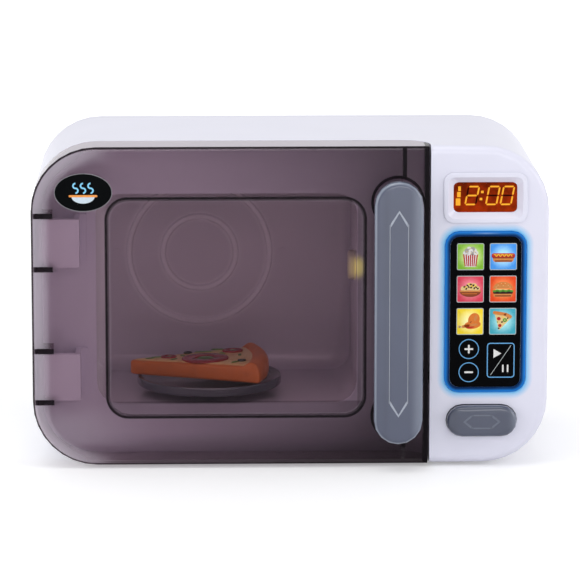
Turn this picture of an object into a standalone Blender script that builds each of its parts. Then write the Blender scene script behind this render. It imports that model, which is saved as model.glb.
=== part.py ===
"""Toy microwave with a see-through door, a driven turntable and a push button that frees the door.

Metres, +Z up. The front faces -Y. The origin lies on the surface that the feet stand on, in the middle of
the whole object's plan. Heights named ..._Z are above the underside of the case, and depths named
..._DEPTH_AT are behind the door's front plane.
"""
import math

import bmesh
import bpy
from mathutils import Matrix

# Case
BODY_WIDTH = 0.290
BODY_HEIGHT = 0.1812
BODY_DEPTH = 0.133
CORNER_RADIUS = 0.0365
FASCIA_WIDTH = 0.0666
CASE_WALL = 0.0024
FRONT_EDGE_RADIUS = 0.0045
FASCIA_SETBACK = 0.0005
REAR_COVER_DEPTH = 0.012
REAR_EDGE_RADIUS = 0.006
FOOT_HEIGHT = 0.0020
FOOT_RADIUS = 0.007
FOOT_INSET = 0.042
FOOT_EDGE = 0.0006

# Clearances
SEAT_GAP = 0.0003
RUNNING_GAP = 0.0004
OVERRUN = 0.002
FUSE = 0.0008
MERGE_DISTANCE = 0.00001

# Door
DOOR_DEPTH = 0.024
DOOR_EDGE_RADIUS = 0.0016
DOOR_WALL = 0.0022
DOOR_CORNER_RADIUS = 0.0160
DOOR_FRAME_GAP = 0.0010
DOOR_FASCIA_GAP = 0.0010
WINDOW_LEFT_MARGIN = 0.0416
WINDOW_RIGHT_MARGIN = 0.0345
WINDOW_LOW_MARGIN = 0.02675
WINDOW_HIGH_MARGIN = 0.02935
WINDOW_CORNER = 0.013
WINDOW_RIB = 0.0017
WINDOW_RIB_HEIGHT = 0.0025
CATCH_INSET = 0.0025
CATCH_Z = 0.0502
CATCH_WIDTH = 0.0031
CATCH_HEIGHT = 0.0093
CATCH_REACH = 0.0070
CATCH_GAP = 0.0006

# Hinge
HINGE_INSET = 0.005
HINGE_SETBACK = 0.0055
HINGE_PIN_RADIUS = 0.0011
HINGE_BORE_RADIUS = 0.0014
HINGE_BARREL_RADIUS = 0.0024
HINGE_PIN_END = 0.0010
EAR_LENGTH = 0.0114
EAR_THICKNESS = 0.0022
EAR_REAR_GAP = 0.0012
LOWER_EAR_Z = 0.0354
LOWER_EAR_SPACING = 0.0294
UPPER_EAR_DROP = 0.0396
UPPER_EAR_SPACING = 0.0302
BRACKET_WALL = 0.0030
BRACKET_FOOT_LENGTH = 0.0065

# Handle
HANDLE_STANDOFF = 0.016
HANDLE_WIDTH = 0.0273
HANDLE_LENGTH = 0.1490
HANDLE_THICKNESS = 0.0075
HANDLE_EDGE_RADIUS = 0.0024
HANDLE_INSET = 0.0174
HANDLE_DROP = 0.0017
HANDLE_POST_RADIUS = 0.0100
PAD_RADIUS = 0.0148
PAD_HEIGHT = 0.0008
GRIP_LINE_INSET = 0.0085
GRIP_LINE_HALF_WIDTH = 0.0056
GRIP_LINE_SHOULDER = 0.0085
GRIP_LINE_END_INSET = 0.0158
GRIP_LINE_WIDTH = 0.0008
GRIP_LINE_DEPTH = 0.0005
SCREW_BOSS_RADIUS = 0.0045
SCREW_BOSS_DEPTH = 0.0058
GUSSET_THICKNESS = 0.0020

# Badge
BADGE_WIDTH = 0.0323
BADGE_HEIGHT = 0.0215
BADGE_INSET = 0.0295
BADGE_DROP = 0.0253
BADGE_THICKNESS = 0.0007
BADGE_PROUD = 0.0004

# Screws
SCREW_HEAD_RADIUS = 0.0030
SCREW_HEAD_HEIGHT = 0.0018
SCREW_SHANK_RADIUS = 0.0013
SCREW_LENGTH = 0.0095
HANDLE_SCREW_LENGTH = 0.0155
SCREW_BORE_RADIUS = 0.0016
DRIVE_SLOT_WIDTH = 0.0008
DRIVE_SLOT_DEPTH = 0.0008

# Cavity
CAVITY_LEFT_MARGIN = 0.0310
CAVITY_RIGHT_MARGIN = 0.0400
CAVITY_FLOOR_Z = 0.0300
CAVITY_HEAD_ROOM = 0.0302
CAVITY_REAR_ROOM = 0.0080
CAVITY_CORNER = 0.0120
CAVITY_BACK_RADIUS = 0.0080
LINER_WALL = 0.0020
LINER_FLANGE = 0.0040
MOUTH_LIP = 0.0045
RING_SHIFT_SHARE = 0.0866
RING_LIFT = 0.0095
INNER_RING_SHARE = 0.1411
OUTER_RING_SHARE = 0.2723
RING_WIDTH = 0.0040
RING_HEIGHT = 0.0014
DIMPLE_OFFSET_SHARE = 0.3215
DIMPLE_RADIUS = 0.0025
DIMPLE_HEIGHT = 0.0008

# Lamp
LAMP_DEPTH_AT = 0.0640
LAMP_DROP = 0.0480
LAMP_WIDTH = 0.0120
LAMP_HEIGHT = 0.0180
LAMP_REACH = 0.0040
LAMP_FLANGE = 0.0020
LAMP_FLANGE_THICKNESS = 0.0015
LAMP_BOARD_THICKNESS = 0.0016
LAMP_CORNER = 0.0055

# Turntable and its drive
TURNTABLE_SHIFT = 0.0077
TURNTABLE_DEPTH_AT = 0.0600
PLATE_RADIUS = 0.0415
PLATE_RIM_RISE = 0.0100
PLATE_FLOOR_RISE = 0.0063
PLATE_THICKNESS = 0.0020
PLATE_WELL_RADIUS = 0.0280
PLATE_HUB_RADIUS = 0.0100
PLATE_HUB_RISE = 0.0010
DRIVE_HEAD_RADIUS = 0.0062
DRIVE_HEAD_RISE = 0.0006
DRIVE_HEAD_HEIGHT = 0.0030
SPINDLE_UPPER_RADIUS = 0.0045
SPINDLE_LOWER_RADIUS = 0.0030
HUB_HOLE_RADIUS = 0.0070
GEAR_MODULE = 0.0010
PRESSURE_ANGLE = math.radians(25)
ADDENDUM_SHARE = 0.8
DEDENDUM_SHARE = 1.05
GEAR_BACKLASH = 0.00035
TURNTABLE_TEETH = 40
IDLER_SMALL_TEETH = 10
IDLER_LARGE_TEETH = 28
PINION_TEETH = 9
TURNTABLE_GEAR_Z = 0.0233
TURNTABLE_GEAR_THICKNESS = 0.0030
IDLER_LARGE_Z = 0.0196
IDLER_LARGE_THICKNESS = 0.0030
IDLER_TOP_Z = 0.0266
IDLER_BORE_RADIUS = 0.0018
IDLER_POST_RADIUS = 0.0015
IDLER_SHOULDER_RADIUS = 0.0035
PINION_THICKNESS = 0.0032
PINION_BORE_RADIUS = 0.0012
MOTOR_RADIUS = 0.0080
MOTOR_TOP_Z = 0.0190
MOTOR_EDGE = 0.0010
MOTOR_SHAFT_RADIUS = 0.0009
GEAR_FRAME_THICKNESS = 0.0020
GEAR_FRAME_WIDTH = 0.0280
GEAR_FRAME_END = 0.0120
BEARING_WALL = 0.0027
BEARING_TOP_Z = 0.0140
MOTOR_RING_WALL = 0.0018
MOTOR_RING_TOP_Z = 0.0120

# Play food
SLICE_LENGTH = 0.0830
SLICE_TIP_REACH = 0.0484
SLICE_HALF_WIDTH = 0.0315
SLICE_THICKNESS = 0.0085
SLICE_EDGE = 0.0014
SLICE_TIP_RADIUS = 0.0040
CRUST_RADIUS = 0.0058

# Fascia
DISPLAY_INSET = 0.0360
DISPLAY_DROP = 0.0292
BEZEL_WIDTH = 0.0471
BEZEL_HEIGHT = 0.0287
BEZEL_CORNER = 0.0056
BEZEL_PROUD = 0.0012
BEZEL_RIM = 0.0007
BEZEL_LAND = 0.0018
BEZEL_REACH = 0.0046
DISPLAY_WIDTH = 0.0351
DISPLAY_HEIGHT = 0.0164
DISPLAY_CORNER = 0.0017
WINDOW_LAP = 0.0015
WINDOW_THICKNESS = 0.0014
WINDOW_SET_IN = 0.0024
MODULE_THICKNESS = 0.0076
PANEL_INSET = 0.0356
PANEL_LOW_Z = 0.04425
PANEL_DROP = 0.05125
PANEL_WIDTH = 0.0396
PANEL_CORNER = 0.0050
PANEL_THICKNESS = 0.0013
LIGHT_RING_WIDTH = 0.0028
LIGHT_RING_PROUD = 0.0007
LIGHT_RING_EDGE = 0.0006
RECESS_DEPTH = 0.0014
BOARD_THICKNESS = 0.0016
BOARD_WIDTH = 0.0420
BOARD_INSET = 0.0360
BOARD_LOW_Z = 0.0465
BOARD_DROP = 0.0137
BOARD_DEPTH_AT = 0.0140
BOARD_POST_RADIUS = 0.0018
BOARD_POST_INSET = 0.0030
BOARD_POST_LOW_Z = 0.0495
BOARD_POST_DROP = 0.0447

# Open button and latch
BUTTON_INSET = 0.0373
BUTTON_Z = 0.0250
BUTTON_WIDTH = 0.0396
BUTTON_HEIGHT = 0.0177
BUTTON_PROUD = 0.0050
BUTTON_EDGE = 0.0024
BUTTON_FLANGE = 0.0022
BUTTON_FLANGE_THICKNESS = 0.0016
BUTTON_TRAVEL = 0.0030
BUTTON_MARK_WIDTH = 0.0215
BUTTON_MARK_HEIGHT = 0.0083
BUTTON_MARK_LINE = 0.0009
BUTTON_MARK_POINT = 0.0050
STEM_SHIFT = 0.0152
STEM_WIDTH = 0.0050
STEM_HEIGHT = 0.0060
LATCH_NEAR_AT = 0.0280
LATCH_THICKNESS = 0.0034
LATCH_PLATE_SHIFT = 0.0057
LATCH_PLATE_WIDTH = 0.0040
LATCH_ARM_HEIGHT = 0.0060
LATCH_FOOT_HEIGHT = 0.0090
RAMP_GAP = 0.0006
HOUSING_WALL = 0.0020
HOUSING_REACH = 0.0244
HOUSING_INSET = 0.0190
HOUSING_LOW_Z = 0.0120
HOUSING_HIGH_Z = 0.0620
HOUSING_FOOT_WIDTH = 0.0080
RAIL_LENGTH = 0.0120
SPRING_RADIUS = 0.0030
SPRING_WIRE = 0.0004
SPRING_TURNS = 6
SPRING_POINTS_PER_TURN = 8
SPRING_Z = 0.0380
SPRING_LUG_SHIFT = 0.0138
SPRING_LUG_HALF_HEIGHT = 0.0050

# Rear cover, its screws and what it holds
COVER_SIDE_WALL = 0.0043
COVER_LIP = 0.0040
COVER_SCREW_LEFT_INSET = 0.0470
COVER_SCREW_MIDDLE_SHIFT = 0.0200
COVER_SCREW_RIGHT_INSET = 0.0410
COVER_SCREW_INSET = 0.0125
SHELL_BOSS_RADIUS = 0.0040
SHELL_BOSS_LENGTH = 0.0260
COVER_BOSS_RADIUS = 0.0052
COVER_BOSS_LAP = 0.0020
COVER_BOSS_FLOOR = 0.0030
COUNTERBORE_GAP = 0.0005
BOSS_RIB = 0.0020
SPEAKER_INSET = 0.0450
SPEAKER_RADIUS = 0.0190
SPEAKER_RIM = 0.0025
SPEAKER_DEPTH = 0.0120
MAGNET_RADIUS = 0.0100
MAGNET_DEPTH = 0.0045
SPEAKER_SLOTS = 6
SPEAKER_SLOT_PITCH = 0.0048
SPEAKER_SLOT_HEIGHT = 0.0022
BATTERY_RADIUS = 0.00725
BATTERY_LENGTH = 0.0505
BATTERY_NUB_RADIUS = 0.0027
BATTERY_NUB_LENGTH = 0.0012
BATTERY_EDGE = 0.0006
BATTERY_COUNT = 3
BATTERY_PITCH = 0.0153
BATTERY_INSET = 0.0480
BATTERY_Z = 0.0620
BATTERY_BOX_WALL = 0.0016
BATTERY_RAIL = 0.0085
CONTACT_THICKNESS = 0.0005
CONTACT_WIDTH = 0.0100
CONTACT_ROOM = 0.0032
CONTACT_BUMP_RADIUS = 0.0022
HATCH_THICKNESS = 0.0021
HATCH_CORNER = 0.0030
HATCH_GAP = 0.0004
HATCH_GRIP_RADIUS = 0.0060
HATCH_GRIP_DEPTH = 0.0009
SWITCH_INSET = 0.0790
SWITCH_Z = 0.0190
SWITCH_KNOB_WIDTH = 0.0050
SWITCH_KNOB_HEIGHT = 0.0044
SWITCH_BASE_WIDTH = 0.0140
SWITCH_BASE_HEIGHT = 0.0090
SWITCH_BASE_THICKNESS = 0.0016
SWITCH_TRAVEL = 0.0040
SWITCH_RIDGE = 0.0004
SWITCH_RIDGE_PITCH = 0.0013

# Facets
CORNER_STEPS = 8
ARC_STEPS = 4
SMALL_ARC_STEPS = 3
EDGE_STEPS = 2
ROUND_SIDES = 24
SMALL_ROUND_SIDES = 12
RING_SIDES = 44

# Places that follow from the sizes above
BASE = FOOT_HEIGHT
TOP = BASE + BODY_HEIGHT
LEFT = -BODY_WIDTH / 2
RIGHT = BODY_WIDTH / 2
FRONT = HANDLE_STANDOFF / 2 - BODY_DEPTH / 2
BACK = FRONT + BODY_DEPTH
CASE_CENTRE = (0, BASE + BODY_HEIGHT / 2)
FASCIA_LEFT = RIGHT - FASCIA_WIDTH
DOOR_RIGHT = FASCIA_LEFT - DOOR_FASCIA_GAP
FASCIA_FRONT = FRONT + FASCIA_SETBACK
FASCIA_BACK = FASCIA_FRONT + CASE_WALL
FRAME_FRONT = FRONT + DOOR_DEPTH + DOOR_FRAME_GAP
FRAME_BACK = FRAME_FRONT + CASE_WALL
REAR_SEAM = BACK - REAR_COVER_DEPTH
COVER_INSIDE = BACK - CASE_WALL
WINDOW_WIDTH = DOOR_RIGHT - WINDOW_RIGHT_MARGIN - LEFT - WINDOW_LEFT_MARGIN
WINDOW_HEIGHT = BODY_HEIGHT - WINDOW_LOW_MARGIN - WINDOW_HIGH_MARGIN
WINDOW_CENTRE_X = LEFT + WINDOW_LEFT_MARGIN + WINDOW_WIDTH / 2
WINDOW_CENTRE_Z = WINDOW_LOW_MARGIN + WINDOW_HEIGHT / 2
CATCH_X = DOOR_RIGHT - CATCH_INSET
HINGE_X = LEFT + HINGE_INSET
HINGE_Y = FRONT + HINGE_SETBACK
UPPER_EAR_Z = BODY_HEIGHT - UPPER_EAR_DROP
EAR_ZS = (LOWER_EAR_Z, LOWER_EAR_Z + LOWER_EAR_SPACING, UPPER_EAR_Z - UPPER_EAR_SPACING, UPPER_EAR_Z)
HANDLE_X = DOOR_RIGHT - HANDLE_INSET
HANDLE_CENTRE_Z = BODY_HEIGHT / 2 - HANDLE_DROP
HANDLE_REACH = HANDLE_LENGTH / 2 - HANDLE_WIDTH / 2
HANDLE_ENDS = (HANDLE_CENTRE_Z - HANDLE_REACH, HANDLE_CENTRE_Z + HANDLE_REACH)
BADGE_X = LEFT + BADGE_INSET
BADGE_Z = BODY_HEIGHT - BADGE_DROP
CAVITY_LEFT = LEFT + CAVITY_LEFT_MARGIN
CAVITY_RIGHT = FASCIA_LEFT - CAVITY_RIGHT_MARGIN
CAVITY_MIDDLE_X = (CAVITY_LEFT + CAVITY_RIGHT) / 2
CAVITY_SPAN = CAVITY_RIGHT - CAVITY_LEFT
CAVITY_CEILING_Z = BODY_HEIGHT - CAVITY_HEAD_ROOM
CAVITY_BACK_AT = BODY_DEPTH - CAVITY_REAR_ROOM
MOUTH_LEFT = CAVITY_LEFT + MOUTH_LIP
RING_X = CAVITY_MIDDLE_X - CAVITY_SPAN * RING_SHIFT_SHARE
RING_Z = (CAVITY_FLOOR_Z + CAVITY_CEILING_Z) / 2 + RING_LIFT
LAMP_Z = CAVITY_CEILING_Z - LAMP_DROP
TURNTABLE_X = CAVITY_MIDDLE_X - TURNTABLE_SHIFT
TURNTABLE_Y = FRONT + TURNTABLE_DEPTH_AT
PITCH_RADIUS_SHARE = 0.5
IDLER_X = TURNTABLE_X + PITCH_RADIUS_SHARE * GEAR_MODULE * (TURNTABLE_TEETH + IDLER_SMALL_TEETH)
MOTOR_X = IDLER_X + PITCH_RADIUS_SHARE * GEAR_MODULE * (IDLER_LARGE_TEETH + PINION_TEETH)
PLATE_RIM_Z = CAVITY_FLOOR_Z + PLATE_RIM_RISE
DISPLAY_X = RIGHT - DISPLAY_INSET
DISPLAY_Z = BODY_HEIGHT - DISPLAY_DROP
PANEL_X = RIGHT - PANEL_INSET
PANEL_HEIGHT = BODY_HEIGHT - PANEL_DROP - PANEL_LOW_Z
PANEL_Z = PANEL_LOW_Z + PANEL_HEIGHT / 2
BOARD_X = RIGHT - BOARD_INSET
BOARD_HEIGHT = BODY_HEIGHT - BOARD_DROP - BOARD_LOW_Z
BOARD_Z = BOARD_LOW_Z + BOARD_HEIGHT / 2
BUTTON_X = RIGHT - BUTTON_INSET
STEM_X = BUTTON_X - STEM_SHIFT
LATCH_PLATE_X = BUTTON_X - LATCH_PLATE_SHIFT
SPRING_LUG_X = BUTTON_X + SPRING_LUG_SHIFT
HOUSING_LEFT = FASCIA_LEFT - HOUSING_REACH
HOUSING_RIGHT = RIGHT - HOUSING_INSET
LATCH_NEAR = FRONT + LATCH_NEAR_AT
LATCH_FAR = LATCH_NEAR + LATCH_THICKNESS
HOUSING_NEAR = LATCH_FAR + RUNNING_GAP
BATTERY_X = RIGHT - BATTERY_INSET
BATTERY_STACK = BATTERY_COUNT * BATTERY_PITCH
BATTERY_POCKET = BATTERY_LENGTH + 2 * CONTACT_ROOM
HATCH_WIDTH = BATTERY_POCKET + BATTERY_BOX_WALL
HATCH_HEIGHT = BATTERY_STACK + BATTERY_RAIL
HATCH_Z = BATTERY_Z + BATTERY_RAIL / 2
HATCH_BACK = COVER_INSIDE + HATCH_THICKNESS
HATCH_TOP_Z = HATCH_Z + HATCH_HEIGHT / 2
SPEAKER_X = RIGHT - SPEAKER_INSET
SPEAKER_Z = (HATCH_TOP_Z + BODY_HEIGHT - COVER_SCREW_INSET - COVER_BOSS_RADIUS) / 2
SWITCH_X = RIGHT - SWITCH_INSET

PLANES = {
    "X": Matrix(((0, 0, 1, 0), (1, 0, 0, 0), (0, 1, 0, 0), (0, 0, 0, 1))),
    "Y": Matrix.Rotation(math.radians(90), 4, "X"),
    "Z": Matrix.Identity(4),
}


def clear_scene():
    """Removes what is in the open file, so that the model starts from nothing."""
    for item in list(bpy.data.objects):
        bpy.data.objects.remove(item, do_unlink=True)
    for group in list(bpy.data.collections):
        bpy.data.collections.remove(group)


def make_collections():
    """The collection of the parts and the one of the shapes that cut or join them."""
    parts = bpy.data.collections.new("toy_microwave")
    tools = bpy.data.collections.new("cutters")
    for group in (parts, tools):
        bpy.context.scene.collection.children.link(group)
    return parts, tools


def plastic(name, colour, roughness, metallic=0.0, alpha=1.0):
    """A Principled material in one finish."""
    material = bpy.data.materials.new(name)
    material.use_nodes = True
    shader = material.node_tree.nodes["Principled BSDF"]
    shader.inputs["Base Color"].default_value = (*colour, 1.0)
    shader.inputs["Roughness"].default_value = roughness
    shader.inputs["Metallic"].default_value = metallic
    shader.inputs["Alpha"].default_value = alpha
    return material


def span(centre, size):
    """The low and high end of a size about its centre."""
    return centre - size / 2, centre + size / 2


def middle(limits):
    """The point halfway between two limits."""
    return (limits[0] + limits[1]) / 2


def rectangle(width, height, radius=0.0, steps=SMALL_ARC_STEPS):
    """A centred rectangle's outline, its corners rounded by arcs."""
    half_width = width / 2
    half_height = height / 2
    if radius <= 0:
        return [(half_width, half_height), (-half_width, half_height),
                (-half_width, -half_height), (half_width, -half_height)]
    points = []
    for corner in range(4):
        side = 1 if corner in (0, 3) else -1
        level = 1 if corner < 2 else -1
        for step in range(steps + 1):
            angle = math.radians(90) * (corner + step / steps)
            points.append((side * (half_width - radius) + radius * math.cos(angle),
                           level * (half_height - radius) + radius * math.sin(angle)))
    return points


def stadium(width, height, steps=CORNER_STEPS):
    """A centred outline with two straight sides and two half-round ends."""
    radius = min(width, height) / 2
    reach = abs(width - height) / 2
    points = []
    for end in (0, 1):
        for step in range(steps + 1):
            angle = math.radians(180) * (end + step / steps)
            along = reach if end == 0 else -reach
            if width > height:
                points.append((along + radius * math.sin(angle), -radius * math.cos(angle)))
            else:
                points.append((radius * math.cos(angle), along + radius * math.sin(angle)))
    return points


def ellipse(width, height, sides=ROUND_SIDES):
    """A centred ellipse's outline."""
    turn = math.radians(360) / sides
    return [(width / 2 * math.cos(i * turn), height / 2 * math.sin(i * turn)) for i in range(sides)]


def long_hexagon(width, height, point):
    """A centred hexagon with two long sides and two pointed ends; its longer size holds the points."""
    half_width = width / 2
    half_height = height / 2
    if height > width:
        shoulder = half_height - point
        return [(0, half_height), (-half_width, shoulder), (-half_width, -shoulder),
                (0, -half_height), (half_width, -shoulder), (half_width, shoulder)]
    shoulder = half_width - point
    return [(half_width, 0), (shoulder, half_height), (-shoulder, half_height),
            (-half_width, 0), (-shoulder, -half_height), (shoulder, -half_height)]


class Workshop:
    """Makes the shapes, puts them in their collections and cuts or joins them."""

    def __init__(self):
        self.parts, self.tools = make_collections()

    def add(self, name, data, place, material):
        """Links new data as a part if it has a material, or else as a cutter."""
        item = bpy.data.objects.new(name, data)
        item.location = place
        group = self.parts if material else self.tools
        group.objects.link(item)
        if material:
            data.materials.append(material)
        else:
            self.set_aside(item)
        return item

    def set_aside(self, item):
        """Marks a shape as one that only cuts or joins."""
        item.hide_render = True
        item.display_type = "WIRE"

    def block(self, name, x, y, z, material=None):
        """A box between three pairs of limits."""
        mesh = bpy.data.meshes.new(name)
        form = bmesh.new()
        bmesh.ops.create_cube(form, size=1.0)
        bmesh.ops.scale(form, vec=(x[1] - x[0], y[1] - y[0], z[1] - z[0]), verts=form.verts)
        form.to_mesh(mesh)
        form.free()
        return self.add(name, mesh, (middle(x), middle(y), middle(z)), material)

    def rod(self, name, at, reach, radius, facing, material=None, sides=ROUND_SIDES, edge=0.0):
        """A cylinder along one axis, with both rims rounded where edge is given."""
        mesh = bpy.data.meshes.new(name)
        form = bmesh.new()
        bmesh.ops.create_cone(form, cap_ends=True, segments=sides, radius1=radius, radius2=radius,
                              depth=reach[1] - reach[0])
        if edge:
            rims = [e for e in form.edges if abs(e.verts[0].co.z - e.verts[1].co.z) < MERGE_DISTANCE]
            bmesh.ops.bevel(form, geom=rims, offset=edge, segments=EDGE_STEPS, profile=0.5,
                            affect="EDGES", clamp_overlap=True)
        self.lay(form, facing)
        form.to_mesh(mesh)
        form.free()
        mesh.shade_smooth()
        mesh.set_sharp_from_angle(angle=math.radians(40))
        return self.add(name, mesh, self.place(at, reach, facing), material)

    def place(self, at, reach, facing):
        """The middle of a shape from its two coordinates in the plane and its limits along the axis."""
        if facing == "X":
            return middle(reach), at[0], at[1]
        if facing == "Y":
            return at[0], middle(reach), at[1]
        return at[0], at[1], middle(reach)

    def lay(self, form, facing):
        """Turns a shape drawn in the XY plane so that its depth runs along another axis."""
        bmesh.ops.transform(form, matrix=PLANES[facing], verts=form.verts)

    def prism(self, name, outline, at, reach, facing, material=None,
              near_rim=0.0, far_rim=0.0, rim_steps=EDGE_STEPS, far_scale=None):
        """A flat outline given a thickness. Its near rim is the one at the axis's low end."""
        curve = bpy.data.curves.new(name, "CURVE")
        curve.dimensions = "2D"
        curve.fill_mode = "BOTH"
        curve.extrude = (reach[1] - reach[0]) / 2
        line = curve.splines.new("POLY")
        line.points.add(len(outline) - 1)
        for point, (across, up) in zip(line.points, outline):
            point.co = (across, up, 0, 1)
        line.use_cyclic_u = True
        form = bmesh.new()
        mesh = self.as_mesh(curve, name)
        form.from_mesh(mesh)
        bmesh.ops.remove_doubles(form, verts=form.verts, dist=MERGE_DISTANCE)
        bmesh.ops.dissolve_limit(form, angle_limit=math.radians(1), verts=form.verts, edges=form.edges)
        bmesh.ops.recalc_face_normals(form, faces=form.faces)
        top_is_near = facing == "Y"
        self.round_rim(form, near_rim, 1 if top_is_near else -1, rim_steps)
        self.round_rim(form, far_rim, -1 if top_is_near else 1, rim_steps)
        if far_scale:
            far_level = -1 if top_is_near else 1
            far = [v for v in form.verts if v.co.z * far_level > 0]
            bmesh.ops.scale(form, vec=(*far_scale, 1), verts=far)
        self.lay(form, facing)
        form.to_mesh(mesh)
        form.free()
        mesh.shade_smooth()
        mesh.set_sharp_from_angle(angle=math.radians(35))
        return self.add(name, mesh, self.place(at, reach, facing), material)

    def as_mesh(self, curve, name):
        """The mesh that a curve's fill, thickness and caps make."""
        guide = bpy.data.objects.new(name, curve)
        bpy.context.scene.collection.objects.link(guide)
        bpy.context.view_layer.update()
        view = bpy.context.evaluated_depsgraph_get()
        mesh = bpy.data.meshes.new_from_object(guide.evaluated_get(view))
        bpy.data.objects.remove(guide)
        bpy.data.curves.remove(curve)
        mesh.name = name
        return mesh

    def round_rim(self, form, radius, level, steps):
        """Rounds the edges round one flat end of a prism."""
        if radius <= 0:
            return
        end = max(v.co.z * level for v in form.verts)
        rim = [e for e in form.edges
               if all(abs(v.co.z * level - end) < MERGE_DISTANCE for v in e.verts)]
        bmesh.ops.bevel(form, geom=rim, offset=radius, segments=steps, profile=0.5,
                        affect="EDGES", clamp_overlap=False)

    def turned(self, name, profile, place, sides, material=None, facing="Z"):
        """A profile of (radius, height) points, top to bottom down its outer side, turned about an axis."""
        mesh = bpy.data.meshes.new(name)
        form = bmesh.new()
        corners = [form.verts.new((radius, 0, height)) for radius, height in profile]
        for upper, lower in zip(corners, corners[1:]):
            form.edges.new((upper, lower))
        form.to_mesh(mesh)
        form.free()
        item = self.add(name, mesh, place, material)
        screw = item.modifiers.new("turn", "SCREW")
        screw.steps = sides
        screw.render_steps = sides
        screw.use_merge_vertices = True
        screw.merge_threshold = MERGE_DISTANCE
        screw.use_smooth_shade = False
        if facing == "Y":
            item.rotation_euler = (math.radians(-90), 0, 0)
        if facing == "X":
            item.rotation_euler = (0, math.radians(90), 0)
        return item

    def tube(self, name, points, radius, place, material=None, sides_resolution=1):
        """A round wire or roll along a line of points, with its ends capped."""
        curve = bpy.data.curves.new(name, "CURVE")
        curve.dimensions = "3D"
        curve.bevel_depth = radius
        curve.bevel_resolution = sides_resolution
        curve.use_fill_caps = True
        line = curve.splines.new("POLY")
        line.points.add(len(points) - 1)
        for point, co in zip(line.points, points):
            point.co = (*co, 1)
        mesh = self.as_mesh(curve, name)
        form = bmesh.new()
        form.from_mesh(mesh)
        bmesh.ops.remove_doubles(form, verts=form.verts, dist=MERGE_DISTANCE)
        bmesh.ops.recalc_face_normals(form, faces=form.faces)
        form.to_mesh(mesh)
        form.free()
        mesh.shade_smooth()
        return self.add(name, mesh, place, material)

    def combine(self, target, shapes, operation):
        """Adds one Boolean for each shape and puts the shape with the cutters."""
        for shape in shapes:
            modifier = target.modifiers.new(shape.name, "BOOLEAN")
            modifier.operation = operation
            modifier.solver = "EXACT"
            modifier.object = shape
        return target

    def cut(self, target, *shapes):
        """Takes shapes out of a part."""
        return self.combine(target, shapes, "DIFFERENCE")

    def join(self, target, *shapes):
        """Makes shapes one with a part."""
        return self.combine(target, shapes, "UNION")

    def axis(self, name, place, riders):
        """An empty on a joint's axis that carries the pieces of one moving body."""
        empty = bpy.data.objects.new(name, None)
        empty.location = place
        self.parts.objects.link(empty)
        for rider in riders:
            rider.parent = empty
            rider.matrix_parent_inverse = Matrix.Translation(place).inverted()
        return empty


def case_outline(inset=0.0):
    """The case's front outline, drawn in from its outside by inset."""
    return rectangle(BODY_WIDTH - 2 * inset, BODY_HEIGHT - 2 * inset, CORNER_RADIUS - inset, CORNER_STEPS)


def corner_arc(corner, radius):
    """Points round a corner that faces +X and +Y, from its +X side to its +Y side."""
    centre = (corner[0] - radius, corner[1] - radius)
    angles = [math.radians(90) * i / CORNER_STEPS for i in range(CORNER_STEPS + 1)]
    return [(centre[0] + radius * math.cos(a), centre[1] + radius * math.sin(a)) for a in angles]


def beside_door(shop, name, right, back, radius):
    """The space in front of the frame and left of the fascia, where the door closes."""
    outline = [(LEFT - OVERRUN, FRONT - OVERRUN), (right, FRONT - OVERRUN), *corner_arc((right, back), radius),
               (LEFT - OVERRUN, back)]
    return shop.prism(name, outline, (0, 0), (BASE - OVERRUN, TOP + OVERRUN), "Z")


def cover_screw_places():
    """Where the rear cover's screws are, as X and Z."""
    columns = (LEFT + COVER_SCREW_LEFT_INSET, COVER_SCREW_MIDDLE_SHIFT, RIGHT - COVER_SCREW_RIGHT_INSET)
    return [(x, z) for z in (BASE + COVER_SCREW_INSET, TOP - COVER_SCREW_INSET) for x in columns]


def body_shell(shop, material):
    """Four walls, the fascia and the front frame in one moulding, open at the back."""
    shell = shop.prism("body_shell", case_outline(), CASE_CENTRE, (FASCIA_FRONT, REAR_SEAM - SEAT_GAP / 2),
                       "Y", material, near_rim=FRONT_EDGE_RADIUS, rim_steps=ARC_STEPS)
    shop.cut(shell, beside_door(shop, "door_space", FASCIA_LEFT, FRAME_FRONT, DOOR_CORNER_RADIUS + DOOR_FRAME_GAP))
    hollow = shop.prism("case_hollow", case_outline(CASE_WALL), CASE_CENTRE,
                        (FASCIA_BACK, REAR_SEAM + OVERRUN), "Y",
                        near_rim=FRONT_EDGE_RADIUS - CASE_WALL)
    shop.cut(hollow, beside_door(shop, "frame_wall", FASCIA_LEFT + CASE_WALL, FRAME_BACK,
                                 DOOR_CORNER_RADIUS + DOOR_FRAME_GAP + CASE_WALL))
    shop.cut(shell, hollow)
    cut_openings(shop, shell)
    add_bosses(shop, shell)
    return shell


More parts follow.
